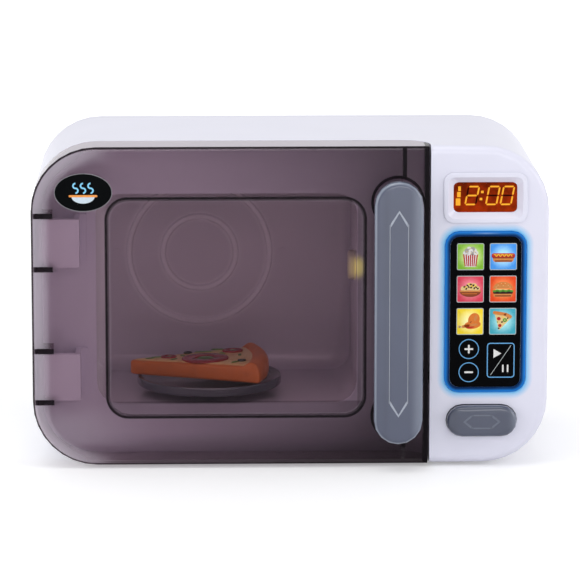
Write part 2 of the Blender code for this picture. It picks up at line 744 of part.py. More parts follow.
def cut_openings(shop, shell):
    """The cavity's mouth, the latch slot and the places of the display, touch panel and button."""
    mouth_width = CAVITY_RIGHT - MOUTH_LEFT
    mouth_height = CAVITY_CEILING_Z - CAVITY_FLOOR_Z
    mouth = shop.prism("cavity_mouth", rectangle(mouth_width, mouth_height, CAVITY_CORNER, ARC_STEPS),
                       (MOUTH_LEFT + mouth_width / 2, BASE + CAVITY_FLOOR_Z + mouth_height / 2),
                       (FRAME_FRONT - OVERRUN, FRAME_BACK + OVERRUN), "Y")
    slot = shop.block("catch_slot", (CATCH_X - CATCH_WIDTH / 2 - CATCH_GAP, FASCIA_LEFT + CATCH_GAP),
                      (FRAME_FRONT - DOOR_CORNER_RADIUS - OVERRUN, FRAME_BACK + OVERRUN),
                      span(BASE + CATCH_Z, CATCH_HEIGHT + 2 * CATCH_GAP))
    through = (FASCIA_FRONT - OVERRUN, FASCIA_BACK + OVERRUN)
    display = shop.prism("display_opening", display_insert_outline(SEAT_GAP),
                         (DISPLAY_X, BASE + DISPLAY_Z), through, "Y")
    touch = shop.prism("touch_recess", light_ring_outline(SEAT_GAP), (PANEL_X, BASE + PANEL_Z),
                       (FASCIA_FRONT - OVERRUN, FASCIA_FRONT + RECESS_DEPTH), "Y")
    button = shop.prism("button_opening", stadium(BUTTON_WIDTH + 2 * RUNNING_GAP, BUTTON_HEIGHT + 2 * RUNNING_GAP),
                        (BUTTON_X, BASE + BUTTON_Z), through, "Y")
    shop.cut(shell, mouth, slot, display, touch, button)


def add_bosses(shop, shell):
    """The posts that the rear cover's screws bite in, each webbed to its wall, and the circuit board's posts."""
    boss_end = REAR_SEAM - COVER_BOSS_LAP
    reach = (boss_end - SHELL_BOSS_LENGTH, boss_end)
    for number, (x, z) in enumerate(cover_screw_places(), 1):
        wall = BASE + CASE_WALL / 2 if z < CASE_CENTRE[1] else TOP - CASE_WALL / 2
        web = shop.block(f"boss_web_{number}", span(x, BOSS_RIB), (reach[0], REAR_SEAM - COVER_LIP - SEAT_GAP),
                         (min(wall, z), max(wall, z)))
        boss = shop.rod(f"boss_{number}", (x, z), reach, SHELL_BOSS_RADIUS, "Y", sides=SMALL_ROUND_SIDES)
        bore = shop.rod(f"boss_bore_{number}", (x, z), (boss_end - SCREW_LENGTH - OVERRUN, boss_end + OVERRUN),
                        SCREW_BORE_RADIUS, "Y", sides=SMALL_ROUND_SIDES)
        shop.join(shell, web, boss)
        shop.cut(shell, bore)
    floor = FASCIA_FRONT + (RECESS_DEPTH + CASE_WALL) / 2
    for number, (x, z) in enumerate(board_post_places(), 1):
        post = shop.rod(f"board_post_{number}", (x, z), (floor, FRONT + BOARD_DEPTH_AT - SEAT_GAP),
                        BOARD_POST_RADIUS, "Y", sides=SMALL_ROUND_SIDES)
        shop.join(shell, post)


def board_post_places():
    """The four corners of the circuit board where posts carry it."""
    half_width = BOARD_WIDTH / 2 - BOARD_POST_INSET
    rows = (BASE + BOARD_POST_LOW_Z, TOP - BOARD_POST_DROP)
    return [(BOARD_X + side * half_width, z) for side in (-1, 1) for z in rows]


def rear_cover(shop, material):
    """The back of the case, with a lip that fits inside the walls and deep screw holes."""
    cover = shop.prism("rear_cover", case_outline(), CASE_CENTRE, (REAR_SEAM + SEAT_GAP / 2, BACK), "Y", material,
                       far_rim=REAR_EDGE_RADIUS, rim_steps=SMALL_ARC_STEPS)
    lip = shop.prism("cover_lip", case_outline(CASE_WALL + SEAT_GAP), CASE_CENTRE,
                     (REAR_SEAM - COVER_LIP, REAR_SEAM + OVERRUN), "Y")
    hollow = shop.prism("cover_hollow", case_outline(COVER_SIDE_WALL), CASE_CENTRE,
                        (REAR_SEAM - COVER_LIP - OVERRUN, COVER_INSIDE), "Y")
    shop.join(cover, lip)
    shop.cut(cover, hollow)
    near = REAR_SEAM - COVER_BOSS_LAP + SEAT_GAP
    for number, (x, z) in enumerate(cover_screw_places(), 1):
        boss = shop.rod(f"cover_boss_{number}", (x, z), (near, COVER_INSIDE + FUSE), COVER_BOSS_RADIUS, "Y",
                        sides=SMALL_ROUND_SIDES)
        bore = shop.rod(f"cover_bore_{number}", (x, z), (near - OVERRUN, BACK), SCREW_BORE_RADIUS, "Y",
                        sides=SMALL_ROUND_SIDES)
        counterbore = shop.rod(f"cover_counterbore_{number}", (x, z), (near + COVER_BOSS_FLOOR, BACK + OVERRUN),
                               SCREW_HEAD_RADIUS + COUNTERBORE_GAP, "Y", sides=SMALL_ROUND_SIDES)
        shop.join(cover, boss)
        shop.cut(cover, bore, counterbore)
    through = (COVER_INSIDE - OVERRUN, BACK + OVERRUN)
    for number in range(SPEAKER_SLOTS):
        level = (number - (SPEAKER_SLOTS - 1) / 2) * SPEAKER_SLOT_PITCH
        reach = math.sqrt((SPEAKER_RADIUS - SPEAKER_RIM) ** 2 - level ** 2)
        slot = shop.prism(f"speaker_slot_{number + 1}",
                          stadium(2 * reach, SPEAKER_SLOT_HEIGHT, SMALL_ARC_STEPS),
                          (SPEAKER_X, BASE + SPEAKER_Z + level), through, "Y")
        shop.cut(cover, slot)
    hatch = shop.prism("hatch_opening",
                       rectangle(HATCH_WIDTH + 2 * HATCH_GAP, HATCH_HEIGHT + 2 * HATCH_GAP, HATCH_CORNER + HATCH_GAP),
                       (BATTERY_X, BASE + HATCH_Z), through, "Y")
    slot = shop.block("switch_slot", (SWITCH_X - SWITCH_KNOB_WIDTH / 2 - RUNNING_GAP,
                                      SWITCH_X + SWITCH_KNOB_WIDTH / 2 + SWITCH_TRAVEL + RUNNING_GAP),
                      through, span(BASE + SWITCH_Z, SWITCH_KNOB_HEIGHT + 2 * RUNNING_GAP))
    shop.cut(cover, hatch, slot)
    return cover


def screw(shop, name, at, seat, length, material):
    """A pan-head screw with its head just behind seat and its shank running forwards from there."""
    low = seat + SEAT_GAP
    top = low + SCREW_HEAD_HEIGHT
    item = shop.rod(name, at, (low, top), SCREW_HEAD_RADIUS, "Y", material, SMALL_ROUND_SIDES)
    stem = shop.rod(f"{name}_shank", at, (seat - length, low + SCREW_HEAD_HEIGHT / 2), SCREW_SHANK_RADIUS, "Y",
                    sides=SMALL_ROUND_SIDES // 2)
    shop.join(item, stem)
    slot = shop.block(f"{name}_slot", span(at[0], 2 * SCREW_HEAD_RADIUS - SCREW_HEAD_HEIGHT),
                      (top - DRIVE_SLOT_DEPTH, top + OVERRUN), span(at[1], DRIVE_SLOT_WIDTH))
    return shop.cut(item, slot)


def cover_screws(shop, material):
    """The screws that hold the rear cover."""
    seat = REAR_SEAM - COVER_BOSS_LAP + SEAT_GAP + COVER_BOSS_FLOOR
    for number, at in enumerate(cover_screw_places(), 1):
        screw(shop, f"cover_screw_{number}", at, seat, SCREW_LENGTH, material)


def feet(shop, material):
    """Four low pads under the case."""
    depth = (FRAME_FRONT + FOOT_INSET / 2, BACK - FOOT_INSET / 2)
    number = 0
    for x in (LEFT + FOOT_INSET, RIGHT - FOOT_INSET):
        for y in depth:
            number += 1
            shop.rod(f"foot_{number}", (x, y), (0, BASE - SEAT_GAP), FOOT_RADIUS, "Z", material,
                     SMALL_ROUND_SIDES, FOOT_EDGE)


def cavity_liner(shop, material):
    """The oven cavity: a rounded box with a front flange, rings and dimples on its back wall."""
    width = CAVITY_RIGHT - CAVITY_LEFT
    height = CAVITY_CEILING_Z - CAVITY_FLOOR_Z
    centre = (CAVITY_LEFT + width / 2, BASE + CAVITY_FLOOR_Z + height / 2)
    near = FRAME_BACK + SEAT_GAP
    back = FRONT + CAVITY_BACK_AT
    grown = 2 * LINER_WALL
    liner = shop.prism("cavity_liner", rectangle(width + grown, height + grown, CAVITY_CORNER + LINER_WALL, ARC_STEPS),
                       centre, (near, back + LINER_WALL), "Y", material,
                       far_rim=CAVITY_BACK_RADIUS + LINER_WALL, rim_steps=SMALL_ARC_STEPS)
    edge = grown + 2 * LINER_FLANGE
    flange = shop.prism("liner_flange",
                        rectangle(width + edge, height + edge, CAVITY_CORNER + LINER_WALL + LINER_FLANGE, ARC_STEPS),
                        centre, (near, near + LINER_WALL), "Y")
    hollow = shop.prism("liner_hollow", rectangle(width, height, CAVITY_CORNER, ARC_STEPS), centre,
                        (near - OVERRUN, back), "Y", far_rim=CAVITY_BACK_RADIUS, rim_steps=SMALL_ARC_STEPS)
    shop.join(liner, flange)
    shop.cut(liner, hollow)
    for number, radius in enumerate((CAVITY_SPAN * INNER_RING_SHARE, CAVITY_SPAN * OUTER_RING_SHARE), 1):
        shop.join(liner, raised_ring(shop, f"back_ring_{number}", radius, back))
    for number, side in enumerate((-1, 1), 1):
        shop.join(liner, shop.rod(f"dimple_{number}", (RING_X + side * CAVITY_SPAN * DIMPLE_OFFSET_SHARE, BASE + RING_Z),
                                  (back - DIMPLE_HEIGHT, back + FUSE), DIMPLE_RADIUS, "Y",
                                  sides=SMALL_ROUND_SIDES))
    hub = shop.rod("hub_hole", (TURNTABLE_X, TURNTABLE_Y),
                   (BASE + CAVITY_FLOOR_Z - LINER_WALL - OVERRUN, BASE + CAVITY_FLOOR_Z + OVERRUN),
                   HUB_HOLE_RADIUS, "Z")
    lamp = shop.prism("lamp_hole", rectangle(LAMP_WIDTH, LAMP_HEIGHT, LAMP_CORNER),
                      (FRONT + LAMP_DEPTH_AT, BASE + LAMP_Z),
                      (CAVITY_RIGHT - OVERRUN, CAVITY_RIGHT + LINER_WALL + OVERRUN), "X")
    return shop.cut(liner, hub, lamp)


def raised_ring(shop, name, radius, back):
    """A ring with sloped flanks, sunk a little in the back wall."""
    half = RING_WIDTH / 2
    crest = half / 2
    profile = [(radius + crest, RING_HEIGHT), (radius + half, 0), (radius + half, -FUSE),
               (radius - half, -FUSE), (radius - half, 0), (radius - crest, RING_HEIGHT),
               (radius + crest, RING_HEIGHT)]
    ring = shop.turned(name, profile, (RING_X, back, BASE + RING_Z), RING_SIDES)
    ring.rotation_euler = (math.radians(90), 0, 0)
    return ring


def lamp(shop, lens_material, board_material):
    """The lens that pokes through the cavity's right wall and the little board behind it."""
    at = (FRONT + LAMP_DEPTH_AT, BASE + LAMP_Z)
    outside = CAVITY_RIGHT + LINER_WALL + SEAT_GAP
    inner = rectangle(LAMP_WIDTH - 2 * SEAT_GAP, LAMP_HEIGHT - 2 * SEAT_GAP, LAMP_CORNER - SEAT_GAP)
    lens = shop.prism("lamp_lens", inner, at, (CAVITY_RIGHT - LAMP_REACH, outside + FUSE), "X", lens_material,
                      near_rim=LAMP_REACH / 2, rim_steps=SMALL_ARC_STEPS)
    flange = shop.prism("lamp_flange", rectangle(LAMP_WIDTH + 2 * LAMP_FLANGE, LAMP_HEIGHT + 2 * LAMP_FLANGE),
                        at, (outside, outside + LAMP_FLANGE_THICKNESS), "X")
    shop.join(lens, flange)
    board_near = outside + LAMP_FLANGE_THICKNESS + SEAT_GAP
    shop.block("lamp_board", (board_near, board_near + LAMP_BOARD_THICKNESS),
               span(at[0], LAMP_WIDTH + 2 * LAMP_FLANGE), span(at[1], LAMP_HEIGHT + 2 * LAMP_FLANGE), board_material)


def door_shell(shop, material):
    """The see-through tray: front, flange all round, window rib, hinge ears, handle pads and catch."""
    door = shop.prism("door_shell", case_outline(), CASE_CENTRE, (FRONT, FRONT + DOOR_DEPTH), "Y", material,
                      near_rim=DOOR_EDGE_RADIUS)
    beyond = (DOOR_RIGHT, RIGHT + OVERRUN)
    tall = (BASE - OVERRUN, TOP + OVERRUN)
    shop.cut(door, shop.block("door_split", beyond, (FRONT - OVERRUN, FRONT + DOOR_DEPTH + OVERRUN), tall))
    hollow = shop.prism("door_hollow", case_outline(DOOR_WALL), CASE_CENTRE,
                        (FRONT + DOOR_WALL, FRONT + DOOR_DEPTH + OVERRUN), "Y")
    inside = (DOOR_RIGHT - DOOR_WALL, RIGHT + OVERRUN)
    shop.cut(hollow, shop.block("door_flange_wall", inside, (FRONT, FRONT + DOOR_DEPTH + 2 * OVERRUN), tall))
    shop.cut(door, hollow)
    inner_face = FRONT + DOOR_WALL
    rib = shop.prism("window_rib", rectangle(WINDOW_WIDTH, WINDOW_HEIGHT, WINDOW_CORNER, ARC_STEPS),
                     (WINDOW_CENTRE_X, BASE + WINDOW_CENTRE_Z),
                     (inner_face - FUSE, inner_face + WINDOW_RIB_HEIGHT), "Y")
    narrowed = 2 * WINDOW_RIB
    pane = shop.prism("window_pane",
                      rectangle(WINDOW_WIDTH - narrowed, WINDOW_HEIGHT - narrowed, WINDOW_CORNER - WINDOW_RIB, ARC_STEPS),
                      (WINDOW_CENTRE_X, BASE + WINDOW_CENTRE_Z),
                      (inner_face - FUSE - OVERRUN, inner_face + WINDOW_RIB_HEIGHT + OVERRUN), "Y")
    shop.cut(rib, pane)
    shop.join(door, rib)
    add_ears(shop, door)
    add_handle_mounts(shop, door)
    shop.cut(door, rear_corner(shop))
    catch = shop.block("catch_tongue", span(CATCH_X, CATCH_WIDTH), (inner_face - FUSE, FRONT + DOOR_DEPTH + CATCH_REACH),
                       span(BASE + CATCH_Z, CATCH_HEIGHT))
    shop.join(door, catch)
    recess = shop.prism("badge_recess", ellipse(BADGE_WIDTH + 2 * SEAT_GAP, BADGE_HEIGHT + 2 * SEAT_GAP),
                        (BADGE_X, BASE + BADGE_Z),
                        (FRONT - OVERRUN, FRONT - BADGE_PROUD + BADGE_THICKNESS + SEAT_GAP), "Y")
    return shop.cut(door, recess)


def rear_corner(shop):
    """What is cut from the door's flanges beside the fascia, where the case curves forwards."""
    corner = (DOOR_RIGHT, FRONT + DOOR_DEPTH)
    outer = (corner[0] + OVERRUN, corner[1] + OVERRUN)
    arc = corner_arc(corner, DOOR_CORNER_RADIUS)
    outline = [outer, (arc[-1][0], outer[1]), *reversed(arc), (outer[0], arc[0][1])]
    return shop.prism("door_rear_corner", outline, (0, 0), (BASE - OVERRUN, TOP + OVERRUN), "Z")


def add_ears(shop, door):
    """Four shelves at the hinge side, bored for the hinge pins."""
    sunk = DOOR_WALL - FUSE
    rear = FRONT + DOOR_DEPTH - EAR_REAR_GAP
    outline = [(LEFT + sunk, FRONT + sunk), (LEFT + EAR_LENGTH, FRONT + sunk), (LEFT + EAR_LENGTH, rear), (LEFT + sunk, rear)]
    for number, z in enumerate(EAR_ZS, 1):
        ear = shop.prism(f"hinge_ear_{number}", outline, (0, 0), span(BASE + z, EAR_THICKNESS), "Z")
        bore = shop.rod(f"ear_bore_{number}", (HINGE_X, HINGE_Y), span(BASE + z, EAR_THICKNESS + OVERRUN),
                        HINGE_BORE_RADIUS, "Z", sides=SMALL_ROUND_SIDES)
        shop.join(door, ear)
        shop.cut(door, bore)


def add_handle_mounts(shop, door):
    """A round pad and a bored boss behind each end of the handle, with a gusset to the nearer flange."""
    inner_face = FRONT + DOOR_WALL
    boss_end = inner_face + SCREW_BOSS_DEPTH
    for name, z in zip(("lower", "upper"), HANDLE_ENDS):
        at = (HANDLE_X, BASE + z)
        pad = shop.rod(f"handle_pad_{name}", at, (FRONT - PAD_HEIGHT, FRONT + FUSE), PAD_RADIUS, "Y", sides=RING_SIDES)
        boss = shop.rod(f"handle_boss_{name}", at, (inner_face - FUSE, boss_end), SCREW_BOSS_RADIUS, "Y",
                        sides=SMALL_ROUND_SIDES)
        flange = BASE + DOOR_WALL / 2 if name == "lower" else TOP - DOOR_WALL / 2
        edge = HANDLE_X + SCREW_BOSS_RADIUS
        gusset = shop.block(f"gusset_{name}", (edge - GUSSET_THICKNESS, edge), (inner_face - FUSE, boss_end - FUSE),
                            (min(flange, at[1]), max(flange, at[1])))
        bore = shop.rod(f"handle_bore_{name}", at, (FRONT - PAD_HEIGHT - OVERRUN, boss_end + OVERRUN),
                        SCREW_BORE_RADIUS, "Y", sides=SMALL_ROUND_SIDES)
        shop.join(door, pad, gusset, boss)
        shop.cut(door, bore)


def hinge(shop, bracket_material, pin_material):
    """Two goose-neck brackets on the frame, each reaching round the door's flange to a barrel between two ears."""
    elbow = HINGE_X + DOOR_DEPTH - HINGE_SETBACK + RUNNING_GAP
    foot_back = FRAME_FRONT - SEAT_GAP
    for name, low, high in (("lower", *EAR_ZS[:2]), ("upper", *EAR_ZS[2:])):
        tall = (BASE + low + EAR_THICKNESS / 2 + RUNNING_GAP, BASE + high - EAR_THICKNESS / 2 - RUNNING_GAP)
        near = HINGE_Y - HINGE_BARREL_RADIUS
        outline = [(HINGE_X, near), (elbow + BRACKET_WALL, near),
                   (elbow + BRACKET_WALL, foot_back - BRACKET_WALL),
                   (elbow + BRACKET_FOOT_LENGTH, foot_back - BRACKET_WALL),
                   (elbow + BRACKET_FOOT_LENGTH, foot_back), (elbow, foot_back),
                   (elbow, HINGE_Y + HINGE_BARREL_RADIUS), (HINGE_X, HINGE_Y + HINGE_BARREL_RADIUS)]
        bracket = shop.prism(f"hinge_bracket_{name}", outline, (0, 0), tall, "Z", bracket_material)
        barrel = shop.rod(f"barrel_{name}", (HINGE_X, HINGE_Y), tall, HINGE_BARREL_RADIUS, "Z", sides=ROUND_SIDES)
        bore = shop.rod(f"barrel_bore_{name}", (HINGE_X, HINGE_Y), (tall[0] - OVERRUN, tall[1] + OVERRUN),
                        HINGE_BORE_RADIUS, "Z", sides=SMALL_ROUND_SIDES)
        shop.join(bracket, barrel)
        shop.cut(bracket, bore)
        shop.rod(f"hinge_pin_{name}", (HINGE_X, HINGE_Y),
                 (BASE + low - EAR_THICKNESS / 2 - HINGE_PIN_END, BASE + high + EAR_THICKNESS / 2 + HINGE_PIN_END),
                 HINGE_PIN_RADIUS, "Z", pin_material, SMALL_ROUND_SIDES)


def door_handle(shop, material, screw_material):
    """A stadium bar on two round posts, with a long hexagon line pressed in its front."""
    front = FRONT - HANDLE_STANDOFF
    at = (HANDLE_X, BASE + HANDLE_CENTRE_Z)
    handle = shop.prism("door_handle", stadium(HANDLE_WIDTH, HANDLE_LENGTH), at, (front, front + HANDLE_THICKNESS), "Y",
                        material, near_rim=HANDLE_EDGE_RADIUS, far_rim=HANDLE_EDGE_RADIUS / 2, rim_steps=SMALL_ARC_STEPS)
    seat = FRONT - PAD_HEIGHT - SEAT_GAP
    for name, z in zip(("lower", "upper"), HANDLE_ENDS):
        post = shop.rod(f"handle_post_{name}", (HANDLE_X, BASE + z), (front + HANDLE_THICKNESS - FUSE, seat),
                        HANDLE_POST_RADIUS, "Y")
        bore = shop.rod(f"post_bore_{name}", (HANDLE_X, BASE + z), (front + HANDLE_THICKNESS, seat + OVERRUN),
                        SCREW_BORE_RADIUS, "Y", sides=SMALL_ROUND_SIDES)
        shop.join(handle, post)
        shop.cut(handle, bore)
    groove = shop.prism("grip_line",
                        long_hexagon(2 * GRIP_LINE_HALF_WIDTH, HANDLE_LENGTH - 2 * GRIP_LINE_END_INSET,
                                     GRIP_LINE_SHOULDER),
                        at, (front - OVERRUN, front + GRIP_LINE_DEPTH), "Y")
    core = shop.prism("grip_line_core",
                      long_hexagon(2 * (GRIP_LINE_HALF_WIDTH - GRIP_LINE_WIDTH),
                                   HANDLE_LENGTH - 2 * (GRIP_LINE_END_INSET + 2 * GRIP_LINE_WIDTH),
                                   GRIP_LINE_SHOULDER - GRIP_LINE_WIDTH / 2),
                      at, (front - 2 * OVERRUN, front + GRIP_LINE_DEPTH + OVERRUN), "Y")
    shop.cut(groove, core)
    shop.cut(handle, groove)
    seat = FRONT + DOOR_WALL + SCREW_BOSS_DEPTH
    screws = [screw(shop, f"handle_screw_{name}", (HANDLE_X, BASE + z), seat, HANDLE_SCREW_LENGTH, screw_material)
              for name, z in zip(("lower", "upper"), HANDLE_ENDS)]
    return [handle, *screws]


def badge_plate(shop, material):
    """The oval plate in the door's upper left."""
    near = FRONT - BADGE_PROUD
    return shop.prism("badge_plate", ellipse(BADGE_WIDTH, BADGE_HEIGHT), (BADGE_X, BASE + BADGE_Z),
                      (near, near + BADGE_THICKNESS), "Y", material)


def tooth_half_angle(radius, teeth, pitch_radius, base_radius):
    """Half the angle that an involute tooth takes up at a radius."""
    def involute(at):
        angle = math.acos(min(1.0, base_radius / at))
        return math.tan(angle) - angle
    half_at_pitch = math.pi / (2 * teeth) - GEAR_BACKLASH / (4 * pitch_radius)
    return half_at_pitch + involute(pitch_radius) - involute(max(radius, base_radius))


def gear_outline(teeth, phase):
    """A spur gear's outline, its first tooth turned from the +X side by phase."""
    pitch_radius = teeth * GEAR_MODULE / 2
    base_radius = pitch_radius * math.cos(PRESSURE_ANGLE)
    tip = pitch_radius + ADDENDUM_SHARE * GEAR_MODULE
    root = pitch_radius - DEDENDUM_SHARE * GEAR_MODULE
    radii = [root, pitch_radius, tip]
    points = []
    for tooth in range(teeth):
        centre = phase + math.radians(360) * tooth / teeth
        flank = [(r, tooth_half_angle(r, teeth, pitch_radius, base_radius)) for r in radii]
        rising = [(r, centre - half) for r, half in flank]
        falling = [(r, centre + half) for r, half in reversed(flank)]
        points += [(r * math.cos(a), r * math.sin(a)) for r, a in rising + falling]
    return points


def turntable_drive(shop, white, steel, brass):
    """The frame, motor and gears under the cavity floor, and the spindle that they turn."""
    floor = BASE + CASE_WALL + SEAT_GAP
    deck = floor + GEAR_FRAME_THICKNESS
    length = MOTOR_X - TURNTABLE_X + 2 * GEAR_FRAME_END
    frame = shop.prism("gear_frame", rectangle(length, GEAR_FRAME_WIDTH, GEAR_FRAME_END / 2),
                       ((TURNTABLE_X + MOTOR_X) / 2, TURNTABLE_Y), (floor, deck), "Z", white)
    bearing_bore = SPINDLE_LOWER_RADIUS + RUNNING_GAP
    bearing = shop.rod("bearing", (TURNTABLE_X, TURNTABLE_Y), (deck - FUSE, BASE + BEARING_TOP_Z),
                       bearing_bore + BEARING_WALL, "Z")
    bearing_hole = shop.rod("bearing_hole", (TURNTABLE_X, TURNTABLE_Y), (deck, BASE + BEARING_TOP_Z + OVERRUN),
                            bearing_bore, "Z")
    shoulder = shop.rod("idler_shoulder", (IDLER_X, TURNTABLE_Y), (deck - FUSE, BASE + IDLER_LARGE_Z - RUNNING_GAP),
                        IDLER_SHOULDER_RADIUS, "Z", sides=SMALL_ROUND_SIDES)
    post = shop.rod("idler_post", (IDLER_X, TURNTABLE_Y), (deck, BASE + IDLER_TOP_Z + SEAT_GAP),
                    IDLER_POST_RADIUS, "Z", sides=SMALL_ROUND_SIDES)
    ring_bore = MOTOR_RADIUS + SEAT_GAP
    ring = shop.rod("motor_ring", (MOTOR_X, TURNTABLE_Y), (deck - FUSE, BASE + MOTOR_RING_TOP_Z),
                    ring_bore + MOTOR_RING_WALL, "Z")
    ring_hole = shop.rod("motor_ring_hole", (MOTOR_X, TURNTABLE_Y), (deck, BASE + MOTOR_RING_TOP_Z + OVERRUN),
                         ring_bore, "Z")
    shop.join(frame, bearing, ring, shoulder, post)
    shop.cut(frame, bearing_hole, ring_hole)
    motor = shop.rod("motor", (MOTOR_X, TURNTABLE_Y), (deck + SEAT_GAP, BASE + MOTOR_TOP_Z), MOTOR_RADIUS, "Z", steel,
                     edge=MOTOR_EDGE)
    shaft = shop.rod("motor_shaft", (MOTOR_X, TURNTABLE_Y),
                     (BASE + MOTOR_TOP_Z - FUSE, BASE + IDLER_LARGE_Z + IDLER_LARGE_THICKNESS),
                     MOTOR_SHAFT_RADIUS, "Z", sides=SMALL_ROUND_SIDES // 2)
    shop.join(motor, shaft)
    pinion = motor_pinion(shop, brass)
    idler = idler_gear(shop, white)
    spindle = turntable_spindle(shop, white, deck)
    return pinion, idler, spindle


def motor_pinion(shop, material):
    """The small gear on the motor's shaft. A gap of it faces the idler."""
    low = BASE + IDLER_LARGE_Z - (PINION_THICKNESS - IDLER_LARGE_THICKNESS) / 2
    reach = (low, low + PINION_THICKNESS)
    phase = math.radians(180) + math.radians(180) / PINION_TEETH
    pinion = shop.prism("motor_pinion", gear_outline(PINION_TEETH, phase), (MOTOR_X, TURNTABLE_Y), reach, "Z", material)
    bore = shop.rod("pinion_bore", (MOTOR_X, TURNTABLE_Y), (reach[0] - OVERRUN, reach[1] + OVERRUN),
                    PINION_BORE_RADIUS, "Z", sides=SMALL_ROUND_SIDES)
    return shop.cut(pinion, bore)


def idler_gear(shop, material):
    """A large and a small gear in one. The large one has a tooth towards the motor, the small one a gap
    towards the turntable."""
    large_top = BASE + IDLER_LARGE_Z + IDLER_LARGE_THICKNESS
    large = shop.prism("idler_gear", gear_outline(IDLER_LARGE_TEETH, 0), (IDLER_X, TURNTABLE_Y),
                       (BASE + IDLER_LARGE_Z, large_top), "Z", material)
    phase = math.radians(180) + math.radians(180) / IDLER_SMALL_TEETH
    small = shop.prism("idler_small", gear_outline(IDLER_SMALL_TEETH, phase), (IDLER_X, TURNTABLE_Y),
                       (large_top - FUSE, BASE + IDLER_TOP_Z), "Z")
    bore = shop.rod("idler_bore", (IDLER_X, TURNTABLE_Y),
                    (BASE + IDLER_LARGE_Z - OVERRUN, BASE + IDLER_TOP_Z + OVERRUN), IDLER_BORE_RADIUS, "Z",
                    sides=SMALL_ROUND_SIDES)
    shop.join(large, small)
    return shop.cut(large, bore)


def turntable_spindle(shop, material, deck):
    """The driven gear with its shaft and the six-sided head that carries the plate."""
    at = (TURNTABLE_X, TURNTABLE_Y)
    gear_low = BASE + TURNTABLE_GEAR_Z
    gear_top = gear_low + TURNTABLE_GEAR_THICKNESS
    head_low = BASE + CAVITY_FLOOR_Z + DRIVE_HEAD_RISE
    spindle = shop.prism("turntable_spindle", gear_outline(TURNTABLE_TEETH, 0), at, (gear_low, gear_top), "Z", material)
    lower = shop.rod("spindle_lower", at, (deck + SEAT_GAP, gear_low + FUSE), SPINDLE_LOWER_RADIUS, "Z",
                     sides=SMALL_ROUND_SIDES)
    upper = shop.rod("spindle_upper", at, (gear_top - FUSE, head_low + FUSE), SPINDLE_UPPER_RADIUS, "Z",
                     sides=SMALL_ROUND_SIDES)
    head = shop.rod("spindle_head", at, (head_low, head_low + DRIVE_HEAD_HEIGHT), DRIVE_HEAD_RADIUS, "Z", sides=6)
    return shop.join(spindle, lower, upper, head)


def turntable_plate(shop, material):
    """A shallow dish with a hub whose six-sided socket drops over the spindle's head."""
    top_of_head = DRIVE_HEAD_RISE + DRIVE_HEAD_HEIGHT
    well = PLATE_FLOOR_RISE
    shoulder = PLATE_WELL_RADIUS + (PLATE_RADIUS - PLATE_WELL_RADIUS) / 2
    half_rise = (PLATE_RIM_RISE - well) / 2
    profile = [(0, well), (PLATE_WELL_RADIUS, well), (shoulder, well + half_rise / 2),
               (PLATE_RADIUS - PLATE_THICKNESS / 2, PLATE_RIM_RISE), (PLATE_RADIUS, PLATE_RIM_RISE - PLATE_THICKNESS / 4),
               (PLATE_RADIUS, PLATE_RIM_RISE - PLATE_THICKNESS), (shoulder, well + half_rise / 2 - PLATE_THICKNESS),
               (PLATE_WELL_RADIUS, well - PLATE_THICKNESS), (PLATE_HUB_RADIUS, well - PLATE_THICKNESS),
               (PLATE_HUB_RADIUS, PLATE_HUB_RISE), (0, PLATE_HUB_RISE)]
    floor = BASE + CAVITY_FLOOR_Z
    plate = shop.turned("turntable_plate", profile, (TURNTABLE_X, TURNTABLE_Y, floor), RING_SIDES, material)
    socket = shop.rod("plate_socket", (TURNTABLE_X, TURNTABLE_Y),
                      (floor + PLATE_HUB_RISE - OVERRUN, floor + top_of_head + SEAT_GAP),
                      DRIVE_HEAD_RADIUS + RUNNING_GAP, "Z", sides=6)
    return shop.cut(plate, socket)


def slice_outline():
    """A slice's plan about the turntable's axis: a rounded tip at -X and an arc of crust at +X."""
    half_angle = math.asin(SLICE_HALF_WIDTH / SLICE_LENGTH)
    tip_centre = SLICE_TIP_RADIUS - SLICE_TIP_REACH
    points = []
    for step in range(ARC_STEPS + 1):
        angle = math.radians(90) + half_angle + (math.radians(180) - 2 * half_angle) * step / ARC_STEPS
        points.append((tip_centre + SLICE_TIP_RADIUS * math.cos(angle), SLICE_TIP_RADIUS * math.sin(angle)))
    points += crust_line(half_angle, CORNER_STEPS)
    return points


def crust_line(half_angle, steps):
    """Points along the arc of the crust, from -Y to +Y, about the turntable's axis."""
    radius = SLICE_LENGTH - CRUST_RADIUS
    return [(radius * math.cos(half_angle * (2 * i / steps - 1)) - SLICE_TIP_REACH,
             radius * math.sin(half_angle * (2 * i / steps - 1))) for i in range(steps + 1)]


def pizza_slice(shop, material):
    """The play slice that lies on the plate's rim: a wedge with a round roll of crust."""
    low = BASE + PLATE_RIM_Z + SEAT_GAP
    wedge = shop.prism("pizza_slice", slice_outline(), (TURNTABLE_X, TURNTABLE_Y), (low, low + SLICE_THICKNESS), "Z",
                       material, near_rim=SLICE_EDGE, far_rim=SLICE_EDGE)
    half_angle = math.asin(SLICE_HALF_WIDTH / SLICE_LENGTH)
    roll = shop.tube("crust_roll", [(x, y, 0) for x, y in crust_line(half_angle, CORNER_STEPS)], CRUST_RADIUS,
                     (TURNTABLE_X, TURNTABLE_Y, low + CRUST_RADIUS), sides_resolution=2)
    return shop.join(wedge, roll)


def display_insert_outline(grown=0.0):
    """The part of the bezel that passes through the fascia."""
    shrink = 2 * (BEZEL_LAND - grown)
    return rectangle(BEZEL_WIDTH - shrink, BEZEL_HEIGHT - shrink, BEZEL_CORNER - BEZEL_LAND + grown)


